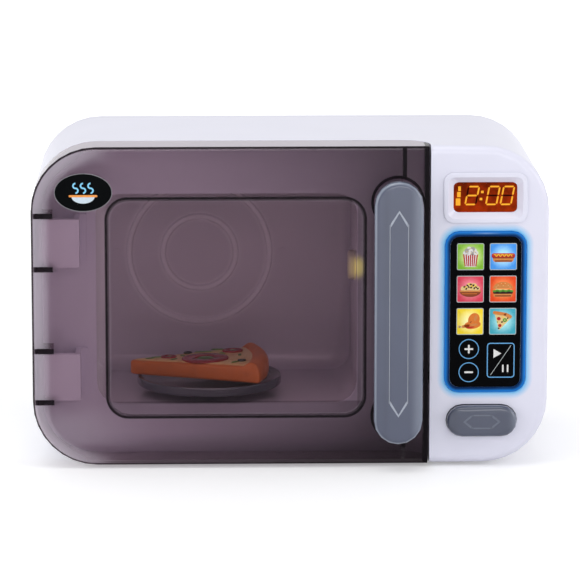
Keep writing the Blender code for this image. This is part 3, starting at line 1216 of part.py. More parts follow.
def display(shop, white, amber, dark):
    """The bezel with its funnel, the amber window behind it and the light module behind that."""
    at = (DISPLAY_X, BASE + DISPLAY_Z)
    near = FASCIA_FRONT - BEZEL_PROUD
    bezel = shop.prism("display_bezel", rectangle(BEZEL_WIDTH, BEZEL_HEIGHT, BEZEL_CORNER, ARC_STEPS), at,
                       (near, FASCIA_FRONT - SEAT_GAP), "Y", white, near_rim=BEZEL_RIM)
    insert = shop.prism("bezel_insert", display_insert_outline(), at,
                        (FASCIA_FRONT - SEAT_GAP - BEZEL_RIM / 2, FASCIA_FRONT + BEZEL_REACH), "Y")
    mouth_width = BEZEL_WIDTH - 2 * BEZEL_LAND
    mouth_height = BEZEL_HEIGHT - 2 * BEZEL_LAND
    window_near = FASCIA_FRONT + WINDOW_SET_IN
    funnel = shop.prism("bezel_funnel", rectangle(mouth_width, mouth_height, BEZEL_CORNER - BEZEL_LAND, ARC_STEPS), at,
                        (near - FUSE, window_near), "Y",
                        far_scale=(DISPLAY_WIDTH / mouth_width, DISPLAY_HEIGHT / mouth_height))
    pocket_width = DISPLAY_WIDTH + 2 * WINDOW_LAP
    pocket_height = DISPLAY_HEIGHT + 2 * WINDOW_LAP
    pocket = shop.prism("bezel_pocket", rectangle(pocket_width + 2 * SEAT_GAP, pocket_height + 2 * SEAT_GAP), at,
                        (window_near - SEAT_GAP, FASCIA_FRONT + BEZEL_REACH + OVERRUN), "Y")
    shop.join(bezel, insert)
    shop.cut(bezel, funnel, pocket)
    window_far = window_near + WINDOW_THICKNESS
    shop.prism("display_window", rectangle(pocket_width, pocket_height), at, (window_near, window_far), "Y", amber)
    module_near = FASCIA_FRONT + BEZEL_REACH + SEAT_GAP
    shop.block("display_module", span(at[0], pocket_width),
               (module_near, min(module_near + MODULE_THICKNESS, FRONT + BOARD_DEPTH_AT - SEAT_GAP)),
               span(at[1], pocket_height), dark)


def light_ring_outline(grown=0.0):
    """The outside of the ring of light round the touch panel."""
    wide = 2 * (LIGHT_RING_WIDTH + SEAT_GAP + grown)
    return rectangle(PANEL_WIDTH + wide, PANEL_HEIGHT + wide, PANEL_CORNER + wide / 2, ARC_STEPS)


def touch_controls(shop, panel_material, ring_material, board_material):
    """The printed panel, the ring of light round it and the circuit board behind the fascia."""
    at = (PANEL_X, BASE + PANEL_Z)
    floor = FASCIA_FRONT + RECESS_DEPTH - SEAT_GAP
    shop.prism("touch_panel", rectangle(PANEL_WIDTH, PANEL_HEIGHT, PANEL_CORNER, ARC_STEPS), at,
               (floor - PANEL_THICKNESS, floor), "Y", panel_material)
    ring = shop.prism("light_ring", light_ring_outline(), at, (FASCIA_FRONT - LIGHT_RING_PROUD, floor), "Y",
                      ring_material, near_rim=LIGHT_RING_EDGE)
    inside = 2 * SEAT_GAP
    hole = shop.prism("light_ring_hole",
                      rectangle(PANEL_WIDTH + inside, PANEL_HEIGHT + inside, PANEL_CORNER + SEAT_GAP, ARC_STEPS), at,
                      (FASCIA_FRONT - LIGHT_RING_PROUD - OVERRUN, floor + OVERRUN), "Y")
    shop.cut(ring, hole)
    board_near = FRONT + BOARD_DEPTH_AT
    shop.block("circuit_board", span(BOARD_X, BOARD_WIDTH), (board_near, board_near + BOARD_THICKNESS),
               span(BASE + BOARD_Z, BOARD_HEIGHT), board_material)


def open_button(shop, material):
    """The push button: a rounded front, a flange that keeps it in and a stem with a sloped tip."""
    at = (BUTTON_X, BASE + BUTTON_Z)
    near = FRONT - BUTTON_PROUD
    flange_near = FASCIA_BACK + RUNNING_GAP
    flange_far = flange_near + BUTTON_FLANGE_THICKNESS
    button = shop.prism("open_button", stadium(BUTTON_WIDTH, BUTTON_HEIGHT), at, (near, flange_near + FUSE), "Y", material,
                        near_rim=BUTTON_EDGE, rim_steps=SMALL_ARC_STEPS)
    flange = shop.prism("button_flange", stadium(BUTTON_WIDTH + 2 * BUTTON_FLANGE, BUTTON_HEIGHT + 2 * BUTTON_FLANGE),
                        at, (flange_near, flange_far), "Y")
    left, right = span(STEM_X, STEM_WIDTH)
    slope = LATCH_FAR - LATCH_NEAR
    outline = [(left, flange_far - FUSE), (right, flange_far - FUSE), (right, LATCH_NEAR),
               (right - slope, LATCH_FAR), (left, LATCH_FAR)]
    stem = shop.prism("button_stem", outline, (0, 0), span(BASE + BUTTON_Z, STEM_HEIGHT), "Z")
    mark = shop.prism("button_mark", long_hexagon(BUTTON_MARK_WIDTH, BUTTON_MARK_HEIGHT, BUTTON_MARK_POINT), at,
                      (near - OVERRUN, near + GRIP_LINE_DEPTH), "Y")
    inner = 2 * BUTTON_MARK_LINE
    core = shop.prism("button_mark_core",
                      long_hexagon(BUTTON_MARK_WIDTH - 2 * inner, BUTTON_MARK_HEIGHT - inner,
                                   BUTTON_MARK_POINT - BUTTON_MARK_LINE),
                      at, (near - 2 * OVERRUN, near + GRIP_LINE_DEPTH + OVERRUN), "Y")
    shop.join(button, flange, stem)
    shop.cut(mark, core)
    return shop.cut(button, mark)


def latch_slide(shop, material):
    """The slide that the button's stem wedges aside. Its upper arm ends beside the door's catch."""
    right_of_plate = LATCH_PLATE_X + LATCH_PLATE_WIDTH / 2
    left_of_plate = LATCH_PLATE_X - LATCH_PLATE_WIDTH / 2
    foot = span(BASE + BUTTON_Z, LATCH_FOOT_HEIGHT)
    arm = span(BASE + CATCH_Z, LATCH_ARM_HEIGHT)
    reach = (LATCH_NEAR, LATCH_FAR)
    slide = shop.block("latch_slide", (left_of_plate, right_of_plate), reach, (foot[0], arm[1]), material)
    upper = shop.block("latch_arm", (FASCIA_LEFT + CATCH_GAP, left_of_plate + FUSE), reach, arm)
    ramp_start = STEM_X + STEM_WIDTH / 2 + RAMP_GAP
    slope = LATCH_FAR - LATCH_NEAR
    outline = [(ramp_start, LATCH_NEAR), (left_of_plate + FUSE, LATCH_NEAR), (left_of_plate + FUSE, LATCH_FAR),
               (ramp_start - slope, LATCH_FAR)]
    ramp = shop.prism("latch_ramp", outline, (0, 0), foot, "Z")
    return shop.join(slide, upper, ramp)


def latch_housing(shop, material):
    """The plate behind the slide, with its rails, its foot on the frame and a lug for the spring."""
    far = HOUSING_NEAR + HOUSING_WALL
    tall = (BASE + HOUSING_LOW_Z, BASE + HOUSING_HIGH_Z)
    plate = shop.block("latch_housing", (HOUSING_LEFT, HOUSING_RIGHT), (HOUSING_NEAR, far), tall, material)
    foot = shop.block("housing_foot", (HOUSING_LEFT, HOUSING_LEFT + HOUSING_FOOT_WIDTH),
                      (FRAME_BACK + SEAT_GAP, HOUSING_NEAR + FUSE), tall)
    arm_top = BASE + CATCH_Z + LATCH_ARM_HEIGHT / 2 + RUNNING_GAP
    foot_low = BASE + BUTTON_Z - LATCH_FOOT_HEIGHT / 2 - RUNNING_GAP
    upper = shop.block("upper_rail", span(LATCH_PLATE_X - RAIL_LENGTH, RAIL_LENGTH), (LATCH_NEAR, HOUSING_NEAR + FUSE),
                       (arm_top, arm_top + HOUSING_WALL))
    lower = shop.block("lower_rail", span(LATCH_PLATE_X, RAIL_LENGTH), (LATCH_NEAR, HOUSING_NEAR + FUSE),
                       (foot_low - HOUSING_WALL, foot_low))
    lug = shop.block("spring_lug", (SPRING_LUG_X, SPRING_LUG_X + HOUSING_WALL), (LATCH_NEAR - SPRING_RADIUS, HOUSING_NEAR + FUSE),
                     span(BASE + SPRING_Z, 2 * SPRING_LUG_HALF_HEIGHT))
    slot = shop.block("stem_slot", span(STEM_X - RUNNING_GAP, STEM_WIDTH + BUTTON_TRAVEL), (HOUSING_NEAR - FUSE, far + OVERRUN),
                      span(BASE + BUTTON_Z, STEM_HEIGHT + 4 * RUNNING_GAP))
    shop.join(plate, foot, upper, lower, lug)
    return shop.cut(plate, slot)


def latch_spring(shop, material):
    """A coil between the slide and the housing's lug. It pushes the slide, and so the button, back out."""
    start = LATCH_PLATE_X + LATCH_PLATE_WIDTH / 2 + SEAT_GAP + SPRING_WIRE
    end = SPRING_LUG_X - SEAT_GAP - SPRING_WIRE
    coil_radius = SPRING_RADIUS - SPRING_WIRE
    count = SPRING_TURNS * SPRING_POINTS_PER_TURN
    turn = math.radians(360) / SPRING_POINTS_PER_TURN
    centre = HOUSING_NEAR - SEAT_GAP - SPRING_RADIUS
    points = [(start + (end - start) * i / count, coil_radius * math.cos(i * turn), coil_radius * math.sin(i * turn))
              for i in range(count + 1)]
    return shop.tube("latch_spring", points, SPRING_WIRE, (0, centre, BASE + SPRING_Z), material)


def speaker(shop, material):
    """A round speaker behind the slots of the rear cover."""
    rim = SPEAKER_DEPTH - SPEAKER_RIM
    profile = [(0, SPEAKER_DEPTH - SPEAKER_RIM / 2), (SPEAKER_RADIUS - SPEAKER_RIM, SPEAKER_DEPTH),
               (SPEAKER_RADIUS, SPEAKER_DEPTH), (SPEAKER_RADIUS, rim), (MAGNET_RADIUS, MAGNET_DEPTH), (MAGNET_RADIUS, 0), (0, 0)]
    near = COVER_INSIDE - SEAT_GAP - SPEAKER_DEPTH
    item = shop.turned("speaker", profile, (SPEAKER_X, near, BASE + SPEAKER_Z), ROUND_SIDES, material)
    item.rotation_euler = (math.radians(-90), 0, 0)
    return item


def battery_levels():
    """The height of each battery's axis."""
    return [BASE + BATTERY_Z + (number - (BATTERY_COUNT - 1) / 2) * BATTERY_PITCH for number in range(BATTERY_COUNT)]


def battery_pack(shop, dark, cell, steel):
    """The battery box behind the hatch, with its cells and contact plates."""
    far = COVER_INSIDE - SEAT_GAP
    pocket_near = far - 2 * BATTERY_RADIUS - 2 * SEAT_GAP
    near = pocket_near - BATTERY_BOX_WALL
    outer_width = BATTERY_POCKET + 2 * BATTERY_BOX_WALL
    low = BASE + BATTERY_Z - BATTERY_STACK / 2
    high = low + BATTERY_STACK
    box = shop.block("battery_box", span(BATTERY_X, outer_width), (near, far),
                     (low - BATTERY_BOX_WALL, high + BATTERY_RAIL), dark)
    pocket = shop.block("battery_pocket", span(BATTERY_X, BATTERY_POCKET), (pocket_near, far + OVERRUN), (low, high))
    bore = shop.rod("hatch_screw_bore", (BATTERY_X, high + BATTERY_RAIL / 2),
                    (far - SCREW_LENGTH - SEAT_GAP, far + OVERRUN), SCREW_BORE_RADIUS, "Y", sides=SMALL_ROUND_SIDES)
    shop.cut(box, pocket, bore)
    axis_y = pocket_near + SEAT_GAP + BATTERY_RADIUS
    barrel = BATTERY_LENGTH - BATTERY_NUB_LENGTH
    for number, z in enumerate(battery_levels(), 1):
        profile = [(0, BATTERY_LENGTH), (BATTERY_NUB_RADIUS, BATTERY_LENGTH), (BATTERY_NUB_RADIUS, barrel),
                   (BATTERY_RADIUS - BATTERY_EDGE, barrel), (BATTERY_RADIUS, barrel - BATTERY_EDGE),
                   (BATTERY_RADIUS, BATTERY_EDGE), (BATTERY_RADIUS - BATTERY_EDGE, 0), (0, 0)]
        way = 1 if number % 2 else -1
        battery = shop.turned(f"battery_{number}", profile, (BATTERY_X - way * BATTERY_LENGTH / 2, axis_y, z),
                              SMALL_ROUND_SIDES, cell)
        battery.rotation_euler = (0, way * math.radians(90), 0)
    for name, way in (("left", -1), ("right", 1)):
        wall = BATTERY_X + way * (BATTERY_POCKET / 2 - SEAT_GAP)
        face = wall - way * CONTACT_THICKNESS
        contact = shop.block(f"battery_contact_{name}", sorted((wall, face)), span(axis_y, CONTACT_WIDTH),
                             (low + SEAT_GAP, high - SEAT_GAP), steel)
        tip = BATTERY_X + way * (BATTERY_LENGTH / 2 + SEAT_GAP)
        for number, z in enumerate(battery_levels(), 1):
            bump = shop.rod(f"contact_bump_{name}_{number}", (axis_y, z), sorted((tip, face + way * CONTACT_THICKNESS / 2)),
                            CONTACT_BUMP_RADIUS, "X", sides=SMALL_ROUND_SIDES // 2)
            shop.join(contact, bump)


def battery_cover(shop, material, screw_material):
    """The hatch over the batteries, set flush in the rear cover, with a finger hollow and its own screw."""
    at = (BATTERY_X, BASE + HATCH_Z)
    hatch = shop.prism("battery_cover", rectangle(HATCH_WIDTH, HATCH_HEIGHT, HATCH_CORNER), at,
                       (COVER_INSIDE, HATCH_BACK), "Y", material)
    high = BASE + BATTERY_Z + BATTERY_STACK / 2
    screw_at = (BATTERY_X, high + BATTERY_RAIL / 2)
    seat = HATCH_BACK - SEAT_GAP - SCREW_HEAD_HEIGHT / 2
    bore = shop.rod("hatch_bore", screw_at, (COVER_INSIDE - OVERRUN, HATCH_BACK), SCREW_BORE_RADIUS, "Y",
                    sides=SMALL_ROUND_SIDES)
    sink = shop.rod("hatch_sink", screw_at, (seat, HATCH_BACK + OVERRUN), SCREW_HEAD_RADIUS + COUNTERBORE_GAP, "Y",
                    sides=SMALL_ROUND_SIDES)
    grip = shop.prism("hatch_grip", stadium(3 * HATCH_GRIP_RADIUS, HATCH_GRIP_RADIUS, SMALL_ARC_STEPS),
                      (BATTERY_X, BASE + BATTERY_Z - BATTERY_STACK / 3),
                      (HATCH_BACK - HATCH_GRIP_DEPTH, HATCH_BACK + OVERRUN), "Y")
    shop.cut(hatch, bore, sink, grip)
    head_seat = seat
    fixing = hatch_screw(shop, screw_at, head_seat, screw_material)
    return [hatch, fixing]


def hatch_screw(shop, at, seat, material):
    """A flat-head screw that stays with the hatch."""
    head = (seat + SEAT_GAP, HATCH_BACK)
    item = shop.rod("battery_cover_screw", at, head, SCREW_HEAD_RADIUS, "Y", material, SMALL_ROUND_SIDES)
    far_end = COVER_INSIDE - SEAT_GAP - SCREW_LENGTH + OVERRUN
    shank = shop.rod("battery_cover_screw_shank", at, (far_end, seat + SEAT_GAP + SCREW_HEAD_HEIGHT / 4), SCREW_SHANK_RADIUS,
                     "Y", sides=SMALL_ROUND_SIDES // 2)
    return shop.join(item, shank)


def power_switch(shop, material):
    """The slide switch: a ridged knob, flush in its slot, on a base plate inside the cover."""
    z = BASE + SWITCH_Z
    base_far = COVER_INSIDE - SEAT_GAP
    base_near = base_far - SWITCH_BASE_THICKNESS
    base = shop.block("power_switch", span(SWITCH_X, SWITCH_BASE_WIDTH), (base_near, base_far), span(z, SWITCH_BASE_HEIGHT),
                      material)
    knob = shop.block("switch_knob", span(SWITCH_X, SWITCH_KNOB_WIDTH), (base_far - FUSE, BACK - SEAT_GAP),
                      span(z, SWITCH_KNOB_HEIGHT))
    shop.join(base, knob)
    for number, side in enumerate((-1, 0, 1), 1):
        groove = shop.block(f"switch_groove_{number}", span(SWITCH_X + side * SWITCH_RIDGE_PITCH, SWITCH_RIDGE),
                            (BACK - SEAT_GAP - SWITCH_RIDGE, BACK + OVERRUN), span(z, SWITCH_KNOB_HEIGHT + OVERRUN))
        shop.cut(base, groove)
    return base


def build():
    """Makes every part and hangs each moving body on an empty at its joint."""
    clear_scene()
    shop = Workshop()
    white = plastic("white_plastic", (0.74, 0.73, 0.82), 0.35)
    smoke = plastic("smoked_plastic", (0.10, 0.07, 0.09), 0.08, alpha=0.55)
    slate = plastic("slate_plastic", (0.13, 0.15, 0.20), 0.35)
    black = plastic("black_gloss", (0.01, 0.012, 0.012), 0.15)
    amber = plastic("amber_window", (0.25, 0.03, 0.003), 0.1)
    blue = plastic("blue_light_guide", (0.01, 0.09, 0.36), 0.12)
    lamp_yellow = plastic("lamp_yellow", (0.80, 0.65, 0.15), 0.3)
    board_green = plastic("board_green", (0.02, 0.16, 0.06), 0.5)
    dark = plastic("dark_plastic", (0.04, 0.04, 0.045), 0.45)
    plate_grey = plastic("plate_grey", (0.05, 0.045, 0.06), 0.3)
    steel = plastic("steel", (0.55, 0.55, 0.56), 0.3, metallic=1.0)
    brass = plastic("brass", (0.75, 0.55, 0.22), 0.3, metallic=1.0)
    copper_top = plastic("battery_wrap", (0.08, 0.08, 0.09), 0.35)
    rubber = plastic("grey_rubber", (0.16, 0.16, 0.17), 0.8)
    crust = plastic("pizza_orange", (0.82, 0.27, 0.06), 0.45)

    body_shell(shop, white)
    rear_cover(shop, white)
    cover_screws(shop, steel)
    feet(shop, rubber)
    cavity_liner(shop, white)
    lamp(shop, lamp_yellow, board_green)
    display(shop, white, amber, dark)
    touch_controls(shop, black, blue, board_green)
    latch_housing(shop, dark)
    latch_spring(shop, steel)
    speaker(shop, dark)
    battery_pack(shop, dark, copper_top, steel)
    hinge(shop, white, steel)
    pinion, idler, spindle = turntable_drive(shop, white, steel, brass)
    plate = turntable_plate(shop, plate_grey)
    slice_piece = pizza_slice(shop, crust)
    door = [door_shell(shop, smoke), badge_plate(shop, black), *door_handle(shop, slate, steel)]
    button = open_button(shop, slate)
    slide = latch_slide(shop, dark)
    hatch = battery_cover(shop, white, steel)
    switch = power_switch(shop, black)

    shop.axis("door_axis", (HINGE_X, HINGE_Y, BASE), door)
    shop.axis("button_axis", (BUTTON_X, FRONT, BASE + BUTTON_Z), [button])
    shop.axis("latch_axis", (LATCH_PLATE_X, LATCH_NEAR, BASE + CATCH_Z), [slide])
    shop.axis("turntable_axis", (TURNTABLE_X, TURNTABLE_Y, BASE), [spindle, plate])
    shop.axis("idler_axis", (IDLER_X, TURNTABLE_Y, BASE), [idler])
    shop.axis("pinion_axis", (MOTOR_X, TURNTABLE_Y, BASE), [pinion])
    shop.axis("slice_axis", (TURNTABLE_X, TURNTABLE_Y, BASE + PLATE_RIM_Z), [slice_piece])
    shop.axis("hatch_axis", (BATTERY_X, COVER_INSIDE, BASE + HATCH_Z), hatch)
    shop.axis("switch_axis", (SWITCH_X, COVER_INSIDE, BASE + SWITCH_Z), [switch])


build()
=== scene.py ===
import functools
import math

import bmesh
import bpy
from bpy.props import FloatProperty, FloatVectorProperty, PointerProperty
from mathutils import Matrix, Vector, noise


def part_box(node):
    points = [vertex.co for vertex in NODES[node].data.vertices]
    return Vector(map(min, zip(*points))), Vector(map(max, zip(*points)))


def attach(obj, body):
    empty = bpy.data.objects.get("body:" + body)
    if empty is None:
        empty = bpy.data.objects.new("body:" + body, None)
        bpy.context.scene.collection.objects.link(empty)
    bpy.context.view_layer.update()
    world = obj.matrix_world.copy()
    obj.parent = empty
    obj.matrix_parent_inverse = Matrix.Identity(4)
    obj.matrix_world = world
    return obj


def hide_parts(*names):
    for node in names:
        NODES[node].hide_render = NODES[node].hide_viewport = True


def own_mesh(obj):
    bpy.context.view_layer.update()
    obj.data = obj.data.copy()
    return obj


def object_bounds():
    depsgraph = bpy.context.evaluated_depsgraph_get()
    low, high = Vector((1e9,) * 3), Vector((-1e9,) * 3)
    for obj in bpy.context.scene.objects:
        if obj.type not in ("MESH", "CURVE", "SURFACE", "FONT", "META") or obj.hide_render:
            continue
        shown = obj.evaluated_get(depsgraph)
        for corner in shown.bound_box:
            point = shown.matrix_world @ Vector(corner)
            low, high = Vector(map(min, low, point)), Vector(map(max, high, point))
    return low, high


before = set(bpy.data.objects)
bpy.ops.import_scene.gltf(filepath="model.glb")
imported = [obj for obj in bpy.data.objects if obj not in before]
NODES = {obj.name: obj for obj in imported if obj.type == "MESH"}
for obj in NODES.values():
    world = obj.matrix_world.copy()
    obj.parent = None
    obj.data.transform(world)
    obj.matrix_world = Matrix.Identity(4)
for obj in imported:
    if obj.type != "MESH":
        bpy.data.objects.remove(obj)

bl_info = {
    "name": "Toy Microwave",
    "version": (1, 0, 0),
    "blender": (4, 5, 0),
    "location": "View3D > Sidebar > Toy Microwave",
    "description": "Finishes, lit display, printed panel and play pizza of a toy microwave",
    "category": "Object",
}

CAD_BOX = [list(corner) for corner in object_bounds()]
MM = 0.001
BITE = 0.1 * MM
WELD_GAP = 0.00001
FINE_BUMP = 0.00001
BLACK = (0.0, 0.0, 0.0)

# The axes that count for a distance seen from the front.
FRONT_PLANE = (1.0, 0.0, 1.0)
UP, FRONTWARD, BACKWARD = "up", "front", "back"


def mm(*values):
    """Millimetres as a vector in metres."""
    return Vector([value * MM for value in values])


def middle(node):
    """The point halfway through a node's box."""
    low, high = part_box(node)
    return (low + high) / 2


# Places of forms that the CAD nodes hold inside one body: the window line's two corners, the hinge shelves'
# heights, and the middle and radii of the rings on the oven's back wall.
PANE = ((-103.9 * MM, 0.0, 28.75 * MM), (42.9 * MM, 0.0, 155.3 * MM))
SHELVES = (37.4 * MM, 66.8 * MM, 113.4 * MM, 143.6 * MM)
RINGS_AT = (-51.0 * MM, 102.0 * MM)
RINGS = (21.5 * MM, 41.5 * MM)

# How far above the solids' shelves their lines are painted, and the corner radii of the door, the window and
# the light ring.
SHELF_LIFT = 0.9 * MM
DOOR_CORNER = 36.5 * MM
PANE_CORNER = 13 * MM
RING_CORNER = 7.8 * MM

# The lamp's light: how its patch slopes with depth, how far its middle is under the lens's top, and its half
# height.
SPILL_SLOPE = 0.187
SPILL_DROP = 11.8 * MM
SPILL_HALF_HEIGHT = 8.6 * MM

METAL_GRAIN = 2500.0
PANEL_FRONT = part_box("touch_panel")[0].y
PANEL_MIDDLE = middle("touch_panel")


def length_setting(name, description, default, **limits):
    """A length that the user can set."""
    return FloatProperty(name=name, description=description, default=default, unit="LENGTH", **limits)


def colour_setting(name, description, default):
    """A colour that the user can set."""
    return FloatVectorProperty(name=name, description=description, default=default, subtype="COLOR",
                               min=0.0, max=1.0)


class ToyMicrowaveSizes(bpy.types.PropertyGroup):
    """Sizes of the printed and lit details."""

    icon_side: length_setting("Icon side", "Width of one food picture on the panel", 15.2 * MM, min=0.005)
    icon_column: length_setting("Icon column step", "Distance between the two picture columns", 18.4 * MM)
    icon_row: length_setting("Icon row step", "Distance between the rows of pictures", 18.45 * MM)
    digit_height: length_setting("Digit height", "Height of a display digit between its end bars", 10.1 * MM)
    digit_width: length_setting("Digit width", "Width of a display digit between its side bars", 5.9 * MM)
    digit_lean: FloatProperty(name="Digit lean",
                              description="How far a digit's top leans over its foot, as a share",
                              default=0.19, subtype="FACTOR", min=0.0, max=0.5)
    glow_reach: length_setting("Glow reach", "How far the ring's light spreads over the case", 4.2 * MM)


class ToyMicrowaveColours(bpy.types.PropertyGroup):
    """Colours of the main finishes."""

    white: colour_setting("White plastic", "The case, rear cover and bezel", (0.74, 0.735, 0.85))
    smoke: colour_setting("Smoked plastic", "The see-through door", (0.007, 0.005, 0.007))
    tint: colour_setting("Door tint", "The light that one surface of the door lets through",
                         (0.846, 0.772, 0.803))
    slate: colour_setting("Slate plastic", "The door handle and the button", (0.062, 0.074, 0.125))
    amber: colour_setting("Amber window", "The display's window", (0.16, 0.012, 0.0005))
    digit: colour_setting("Digit light", "The lit bars of the display", (1.0, 0.42, 0.03))
    ring: colour_setting("Ring blue", "The light guide round the panel", (0.004, 0.055, 0.24))
    glow: colour_setting("Ring glow", "The ring's light on the case", (0.09, 0.46, 0.80))
    dough: colour_setting("Pizza dough", "The sides and crust of the play pizza", (0.78, 0.22, 0.055))


# Finishes


class Finish:
    """A material in the making: its shader and the nodes that vary it."""

    def __init__(self, name, colour, roughness, sockets=None):
        self.material = bpy.data.materials.new(name)
        self.material.use_nodes = True
        self.tree = self.material.node_tree
        self.shader = self.tree.nodes["Principled BSDF"]
        self.shader.inputs["Base Color"].default_value = (*colour, 1.0)
        self.shader.inputs["Roughness"].default_value = roughness
        for socket, value in (sockets or {}).items():
            self.shader.inputs[socket].default_value = value
        self.coordinates = self.node("TexCoord", {}, "Object")

    def node(self, kind, feeds, out=0, **settings):
        """A node with its settings and what feeds its sockets; gives the output that is asked for."""
        made = self.tree.nodes.new("ShaderNode" + kind)
        for key, value in settings.items():
            setattr(made, key, value)
        for socket, value in feeds.items():
            if isinstance(value, bpy.types.NodeSocket):
                self.tree.links.new(value, made.inputs[socket])
            else:
                made.inputs[socket].default_value = value
        return made.outputs[out]

    def feed(self, socket, output):
        """Lets a node's output set one of the shader's sockets."""
        self.tree.links.new(output, self.shader.inputs[socket])

    def noise(self, scale, detail=2.0, stretch=None):
        """Soft noise over the piece, in features per metre."""
        place = self.coordinates
        if stretch:
            place = self.vector("MULTIPLY", place, stretch)
        return self.node("TexNoise", {"Vector": place, "Scale": scale, "Detail": detail})

    def mixed(self, factor, first, second):
        """A colour between two, by a factor from 0 to 1."""
        ends = [end if isinstance(end, bpy.types.NodeSocket) else (*end, 1.0) for end in (first, second)]
        return self.node("Mix", {0: factor, 6: ends[0], 7: ends[1]}, 2, data_type="RGBA")

    def ranged(self, value, low, high, to_low, to_high, easing="LINEAR"):
        """A value moved from one range to another and held inside it."""
        return self.node("MapRange", {"Value": value, "From Min": low, "From Max": high, "To Min": to_low,
                                      "To Max": to_high}, 0, interpolation_type=easing)

    def maths(self, operation, first, second=0.0):
        """The result of one sum on two numbers."""
        return self.node("Math", {0: first, 1: second}, operation=operation)

    def both(self, *values):
        """The product of some masks."""
        return functools.reduce(lambda first, second: self.maths("MULTIPLY", first, second), values)

    def most(self, *values):
        """The greatest of some masks."""
        return functools.reduce(lambda first, second: self.maths("MAXIMUM", first, second), values)

    def soft(self, value, low, high):
        """A mask that rises softly from 0 at one value to 1 at another."""
        if low > high:
            return self.ranged(value, high, low, 1.0, 0.0, "SMOOTHSTEP")
        return self.ranged(value, low, high, 0.0, 1.0, "SMOOTHSTEP")

    def apart(self, value, centre):
        """How far a value is from another, either way."""
        return self.maths("ABSOLUTE", self.maths("SUBTRACT", value, centre))

    def near(self, value, centre, reach, blur):
        """A mask round one value, with soft ends."""
        return self.ranged(self.apart(value, centre), reach - blur / 2, reach + blur / 2, 1.0, 0.0)

    def rest(self, mask):
        """What a mask leaves over."""
        return self.maths("SUBTRACT", 1.0, mask)

    def shone(self, mask, light):
        """A light's colour where a mask is 1, fading to black where it is 0."""
        return self.mixed(mask, BLACK, light)

    def waves(self, value, length):
        """A number that swings between -1 and 1, once in each length."""
        return self.maths("SINE", self.maths("MULTIPLY", value, 2 * math.pi / length))

    def base(self):
        """What sets the shader's colour so far."""
        return self.shader.inputs["Base Color"].links[0].from_socket

    def vector(self, operation, first, second=(0.0, 0.0, 0.0), out="Vector"):
        """The result of one sum on two vectors."""
        return self.node("VectorMath", {0: first, 1: second}, out, operation=operation)

    def part(self, axis):
        """One of the place's three numbers."""
        return self.node("SeparateXYZ", {0: self.coordinates}, axis)

    def bumped(self, height, depth):
        """A fine relief of that depth in metres."""
        self.feed("Normal", self.node("Bump", {"Height": height, "Distance": depth, "Strength": 1.0}))

    def distance(self, centre, stretch=(1.0, 1.0, 1.0)):
        """How far a place is from a point, with each axis stretched."""
        offset = self.vector("SUBTRACT", self.coordinates, tuple(centre))
        return self.vector("LENGTH", self.vector("MULTIPLY", offset, stretch), out="Value")

    def rim_distance(self, low, high, corner):
        """How far a place is outside a round-cornered rectangle that faces the front."""
        centre, half = (low + high) / 2, (high - low) / 2
        apart = self.vector("ABSOLUTE", self.vector("SUBTRACT", self.coordinates, tuple(centre)))
        over = self.vector("SUBTRACT", apart, (half.x - corner, 1.0, half.z - corner))
        outside = self.vector("LENGTH", self.vector("MAXIMUM", over), out="Value")
        return self.maths("SUBTRACT", outside, corner)


def scaled(colour, share):
    """A colour made lighter or darker."""
    return tuple(min(channel * share, 1.0) for channel in colour)


def moulded(name, colour, roughness, mottle=0.04, patch=26.0, grain=900.0, depth=0.000012, sockets=None):
    """Moulded plastic: cloudy colour, uneven gloss and a fine grain."""
    finish = Finish(name, colour, roughness, sockets)
    cloud = finish.ranged(finish.noise(patch, 3.0), 0.3, 0.7, 0.0, 1.0)
    finish.feed("Base Color", finish.mixed(cloud, scaled(colour, 1 - mottle), scaled(colour, 1 + mottle)))
    gloss = finish.ranged(finish.noise(patch * 2), 0.2, 0.8, roughness * 0.93, roughness * 1.07)
    finish.feed("Roughness", gloss)
    finish.bumped(finish.noise(grain), depth)
    return finish


def metal(name, colour, roughness, along=(1.0, 1.0, 1.0)):
    """Metal with fine brushed lines along one way and dull patches."""
    finish = Finish(name, colour, roughness, {"Metallic": 1.0})
    lines = finish.noise(METAL_GRAIN, 3.0, along)
    finish.feed("Base Color", finish.mixed(finish.noise(180.0), scaled(colour, 0.82), scaled(colour, 1.08)))
    finish.feed("Roughness", finish.ranged(lines, 0.3, 0.7, roughness * 0.7, roughness * 1.4))
    finish.bumped(lines, FINE_BUMP)
    return finish


def lit(name, colour, light, strength=1.0, roughness=0.35, sockets=None):
    """A printed ink or lens that light comes through a little unevenly."""
    finish = Finish(name, colour, roughness, {"Emission Strength": strength, **(sockets or {})})
    cloud = finish.noise(700.0, 2.0)
    finish.feed("Base Color", finish.mixed(cloud, scaled(colour, 0.88), scaled(colour, 1.1)))
    finish.feed("Emission Color", finish.mixed(cloud, scaled(light, 0.85), scaled(light, 1.12)))
    return finish


def known(name, maker, *arguments, **settings):
    """The material of that name, made at its first use."""
    return bpy.data.materials.get(name) or maker(name, *arguments, **settings).material


def colours():
    """The colours that the user has set."""
    return bpy.context.scene.toy_microwave_colours


def sizes():
    """The sizes that the user has set."""
    return bpy.context.scene.toy_microwave_sizes


def white_plastic():
    """Satin white moulded plastic."""
    return known("white_plastic", moulded, colours().white, 0.34, mottle=0.015, sockets={"Coat Weight": 0.15})


